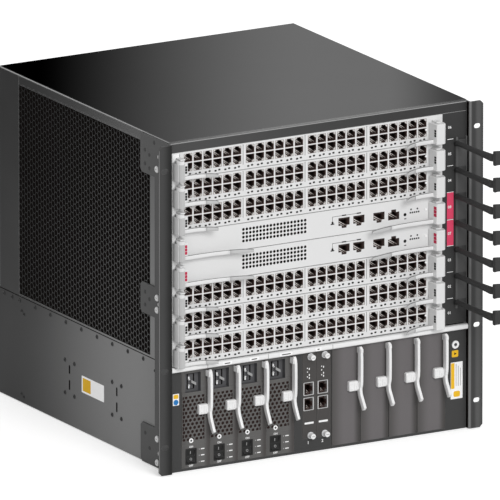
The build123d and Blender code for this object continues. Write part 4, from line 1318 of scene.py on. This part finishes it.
def monitor_front(board):
    """Framed ports, thumbscrews and blank label of a monitor board."""
    lo = span(board)[0]
    front = Shape()
    x = lo.x - SEAT + MONITOR_PORT_X
    for rise in MONITOR_PORTS:
        z = lo.z + rise
        front.collar(around(x, z, 7.7, 8.7, 0.8), rounded(x - 6.4, z - 7.9, x + 6.3, z + 7.9, 0.4),
                     -0.3, 0.45, frame_grey_and_tip_shade)
        notched_port(front, x, z, 1)
    for rise in MONITOR_SCREWS:
        screw_x, z = lo.x - SEAT + MONITOR_SCREW_X, lo.z + rise
        front.disc(screw_x, z, 3.65, 0.6, 8.15, handle_metal, 24, bevel=0.5)
        front.ring(screw_x, z, 4.6, 3.6, -0.1, 0.7, steel)
        # The slot of the thumbscrew is a grey mark of painted shade
        front.pad(screw_x, z, 2.3, 0.4, 8.0, 8.2, grey_ink_and_shade)
    front.plate(lo.x + 3.0, 37.4, lo.x + 16.6, 40.0, -0.1, 0.15, white_ink, 0.8)
    for z in (98.0, 102.0, 110.0):
        front.plate(x + 0.6, z, x + 1.9, z + 2.6, -0.1, 0.1, white_ink, 0.4)
    for z in (101.0, 107.5, 112.5):
        front.disc(x - 1.6, z, 0.8, -0.1, 0.15, white_ink, 10)
    front.words(board[-1], lo.x + 8.4, 12.4, 4.0, 0.2, white_ink)
    front.piece(f"{board}_front", board, tidy=False)


# --- Rear


def fan_guard(guard, x, z):
    """Rim, wire rings, hub and four corner screws of one fan."""
    guard.ring(x, z, FAN_R + 4.0, FAN_R - 2.4, -0.1, 0.6, fan_sheet, 64)
    for radius in GUARD_RINGS:
        guard.ring(x, z, radius + WIRE_R, radius - WIRE_R, -0.6, 1.2, steel, 48)
    guard.disc(x, z, 20.4, -0.4, 0.9, fan_black, 48, bevel=0.6)
    guard.disc(x, z, 16.0, 0.5, 1.2, recess_coat, 40)
    for corner_x, corner_z in circle(x, z, FAN_SCREW_R, 4, math.pi / 4):
        side_screw(guard, corner_x, corner_z, 3.4, steel)


def fan_front(module):
    """Round finger guards, corner thumbscrews and lamp of a fan module."""
    lo, hi = span(module)
    guard = Shape(REAR)
    x = -(lo.x + hi.x) / 2
    z = (lo.z + hi.z) / 2
    for rise in (-FAN_RISE, FAN_RISE):
        fan_guard(guard, x, z + rise)
    for screw_x in (-96, 96):
        for screw_z in (-136, 136):
            guard.disc(x + screw_x, z + screw_z, 5.0, -0.2, 9.0, handle_metal, 24, bevel=0.8)
    guard.disc(x - 60, z, 1.6, -0.2, 0.6, lamp_off, 14)
    guard.piece(f"{module}_guards", module, tidy=False)


# --- Room


def seen_rays(tree):
    """One for rays that look at the room: from the camera, by reflection or through glass."""
    rays = add_node(tree, "LightPath").outputs
    seen = math_node(tree, "MAXIMUM", rays["Is Camera Ray"], rays["Is Glossy Ray"])
    return math_node(tree, "MAXIMUM", seen, rays["Is Transmission Ray"])


def white_world():
    """Plain pale surroundings, white to the camera."""
    world = bpy.data.worlds.new("pale_room")
    bpy.context.scene.world = world
    world.use_nodes = True
    tree = world.node_tree
    room = tree.nodes["Background"]
    backdrop = add_node(tree, "Background")
    mix = add_node(tree, "MixShader")
    wire(tree, (WHITE, room.inputs["Color"]), (0.55, room.inputs["Strength"]),
         (WHITE, backdrop.inputs["Color"]), (seen_rays(tree), mix.inputs["Fac"]),
         (room.outputs[0], mix.inputs[1]), (backdrop.outputs[0], mix.inputs[2]),
         (mix.outputs[0], tree.nodes["World Output"].inputs["Surface"]))


def pale_floor():
    """Pale floor that stays white to the camera and keeps the shadow."""
    material = bpy.data.materials.new("pale_floor")
    material.use_nodes = True
    tree = material.node_tree
    tree.nodes.remove(tree.nodes["Principled BSDF"])
    matt = add_node(tree, "BsdfDiffuse")
    glow = add_node(tree, "Emission")
    both = add_node(tree, "AddShader")
    wire(tree, ((0.86, 0.86, 0.86, 1), matt.inputs["Color"]),
         (math_node(tree, "MULTIPLY", seen_rays(tree), 0.42), glow.inputs["Strength"]),
         (matt.outputs[0], both.inputs[0]), (glow.outputs[0], both.inputs[1]),
         (both.outputs[0], tree.nodes["Material Output"].inputs["Surface"]))
    mesh = bmesh.new()
    bmesh.ops.create_grid(mesh, x_segments=4, y_segments=4, size=30.0)
    data = bpy.data.meshes.new("pale_floor")
    mesh.to_mesh(data)
    mesh.free()
    data.materials.append(material)
    floor = add_object("pale_floor", data)
    floor.location.z = -0.6 * MM


def sun(name, direction, strength, spread):
    light = bpy.data.lights.new(name, "SUN")
    light.energy = strength
    light.angle = math.radians(spread)
    add_object(name, light).rotation_euler = Vector(direction).to_track_quat("-Z", "Y").to_euler()


def camera():
    """Long lens from the front left, a little above. Distances are in metres."""
    azimuth = math.radians(-29.7438)
    elevation = math.radians(15.1789)
    distance = 29.007
    aim = Vector((0, 0, 0.22085))
    shift = (0.02306, -0.00486)
    back = Vector((math.sin(azimuth) * math.cos(elevation), -math.cos(azimuth) * math.cos(elevation),
                   math.sin(elevation)))
    right = Vector((math.cos(azimuth), math.sin(azimuth), 0))
    up = back.cross(right)
    data = bpy.data.cameras.new("camera")
    data.lens = 1606.0
    data.clip_end = 100.0
    eye = add_object("camera", data)
    spot = aim + back * distance + right * shift[0] + up * shift[1]
    eye.matrix_world = Matrix.Translation(spot) @ Matrix((right, up, back)).transposed().to_4x4()
    bpy.context.scene.camera = eye


coat_nodes()
for card in LINE_CARDS:
    line_card_front(card)
for card in CONTROL_CARDS:
    control_card_front(card)
for card in CARDS:
    card_lever(card, -1)
    card_lever(card, 1)
left_panel()
left_fixings()
slot_strip()
rail_labels()
ear_heads()
cable_comb()
front_labels()
for module in POWER_MODULES:
    power_front(module)
    rocker_marks(module)
for filler in FILLERS:
    filler_front(filler)
for board in MONITORS:
    monitor_front(board)
for module in FAN_MODULES:
    fan_front(module)
white_world()
pale_floor()
sun("key_light", (0.1, 0.85, -0.5), 1.9, 30)
camera()

bpy.context.scene.view_settings.view_transform = "Standard"
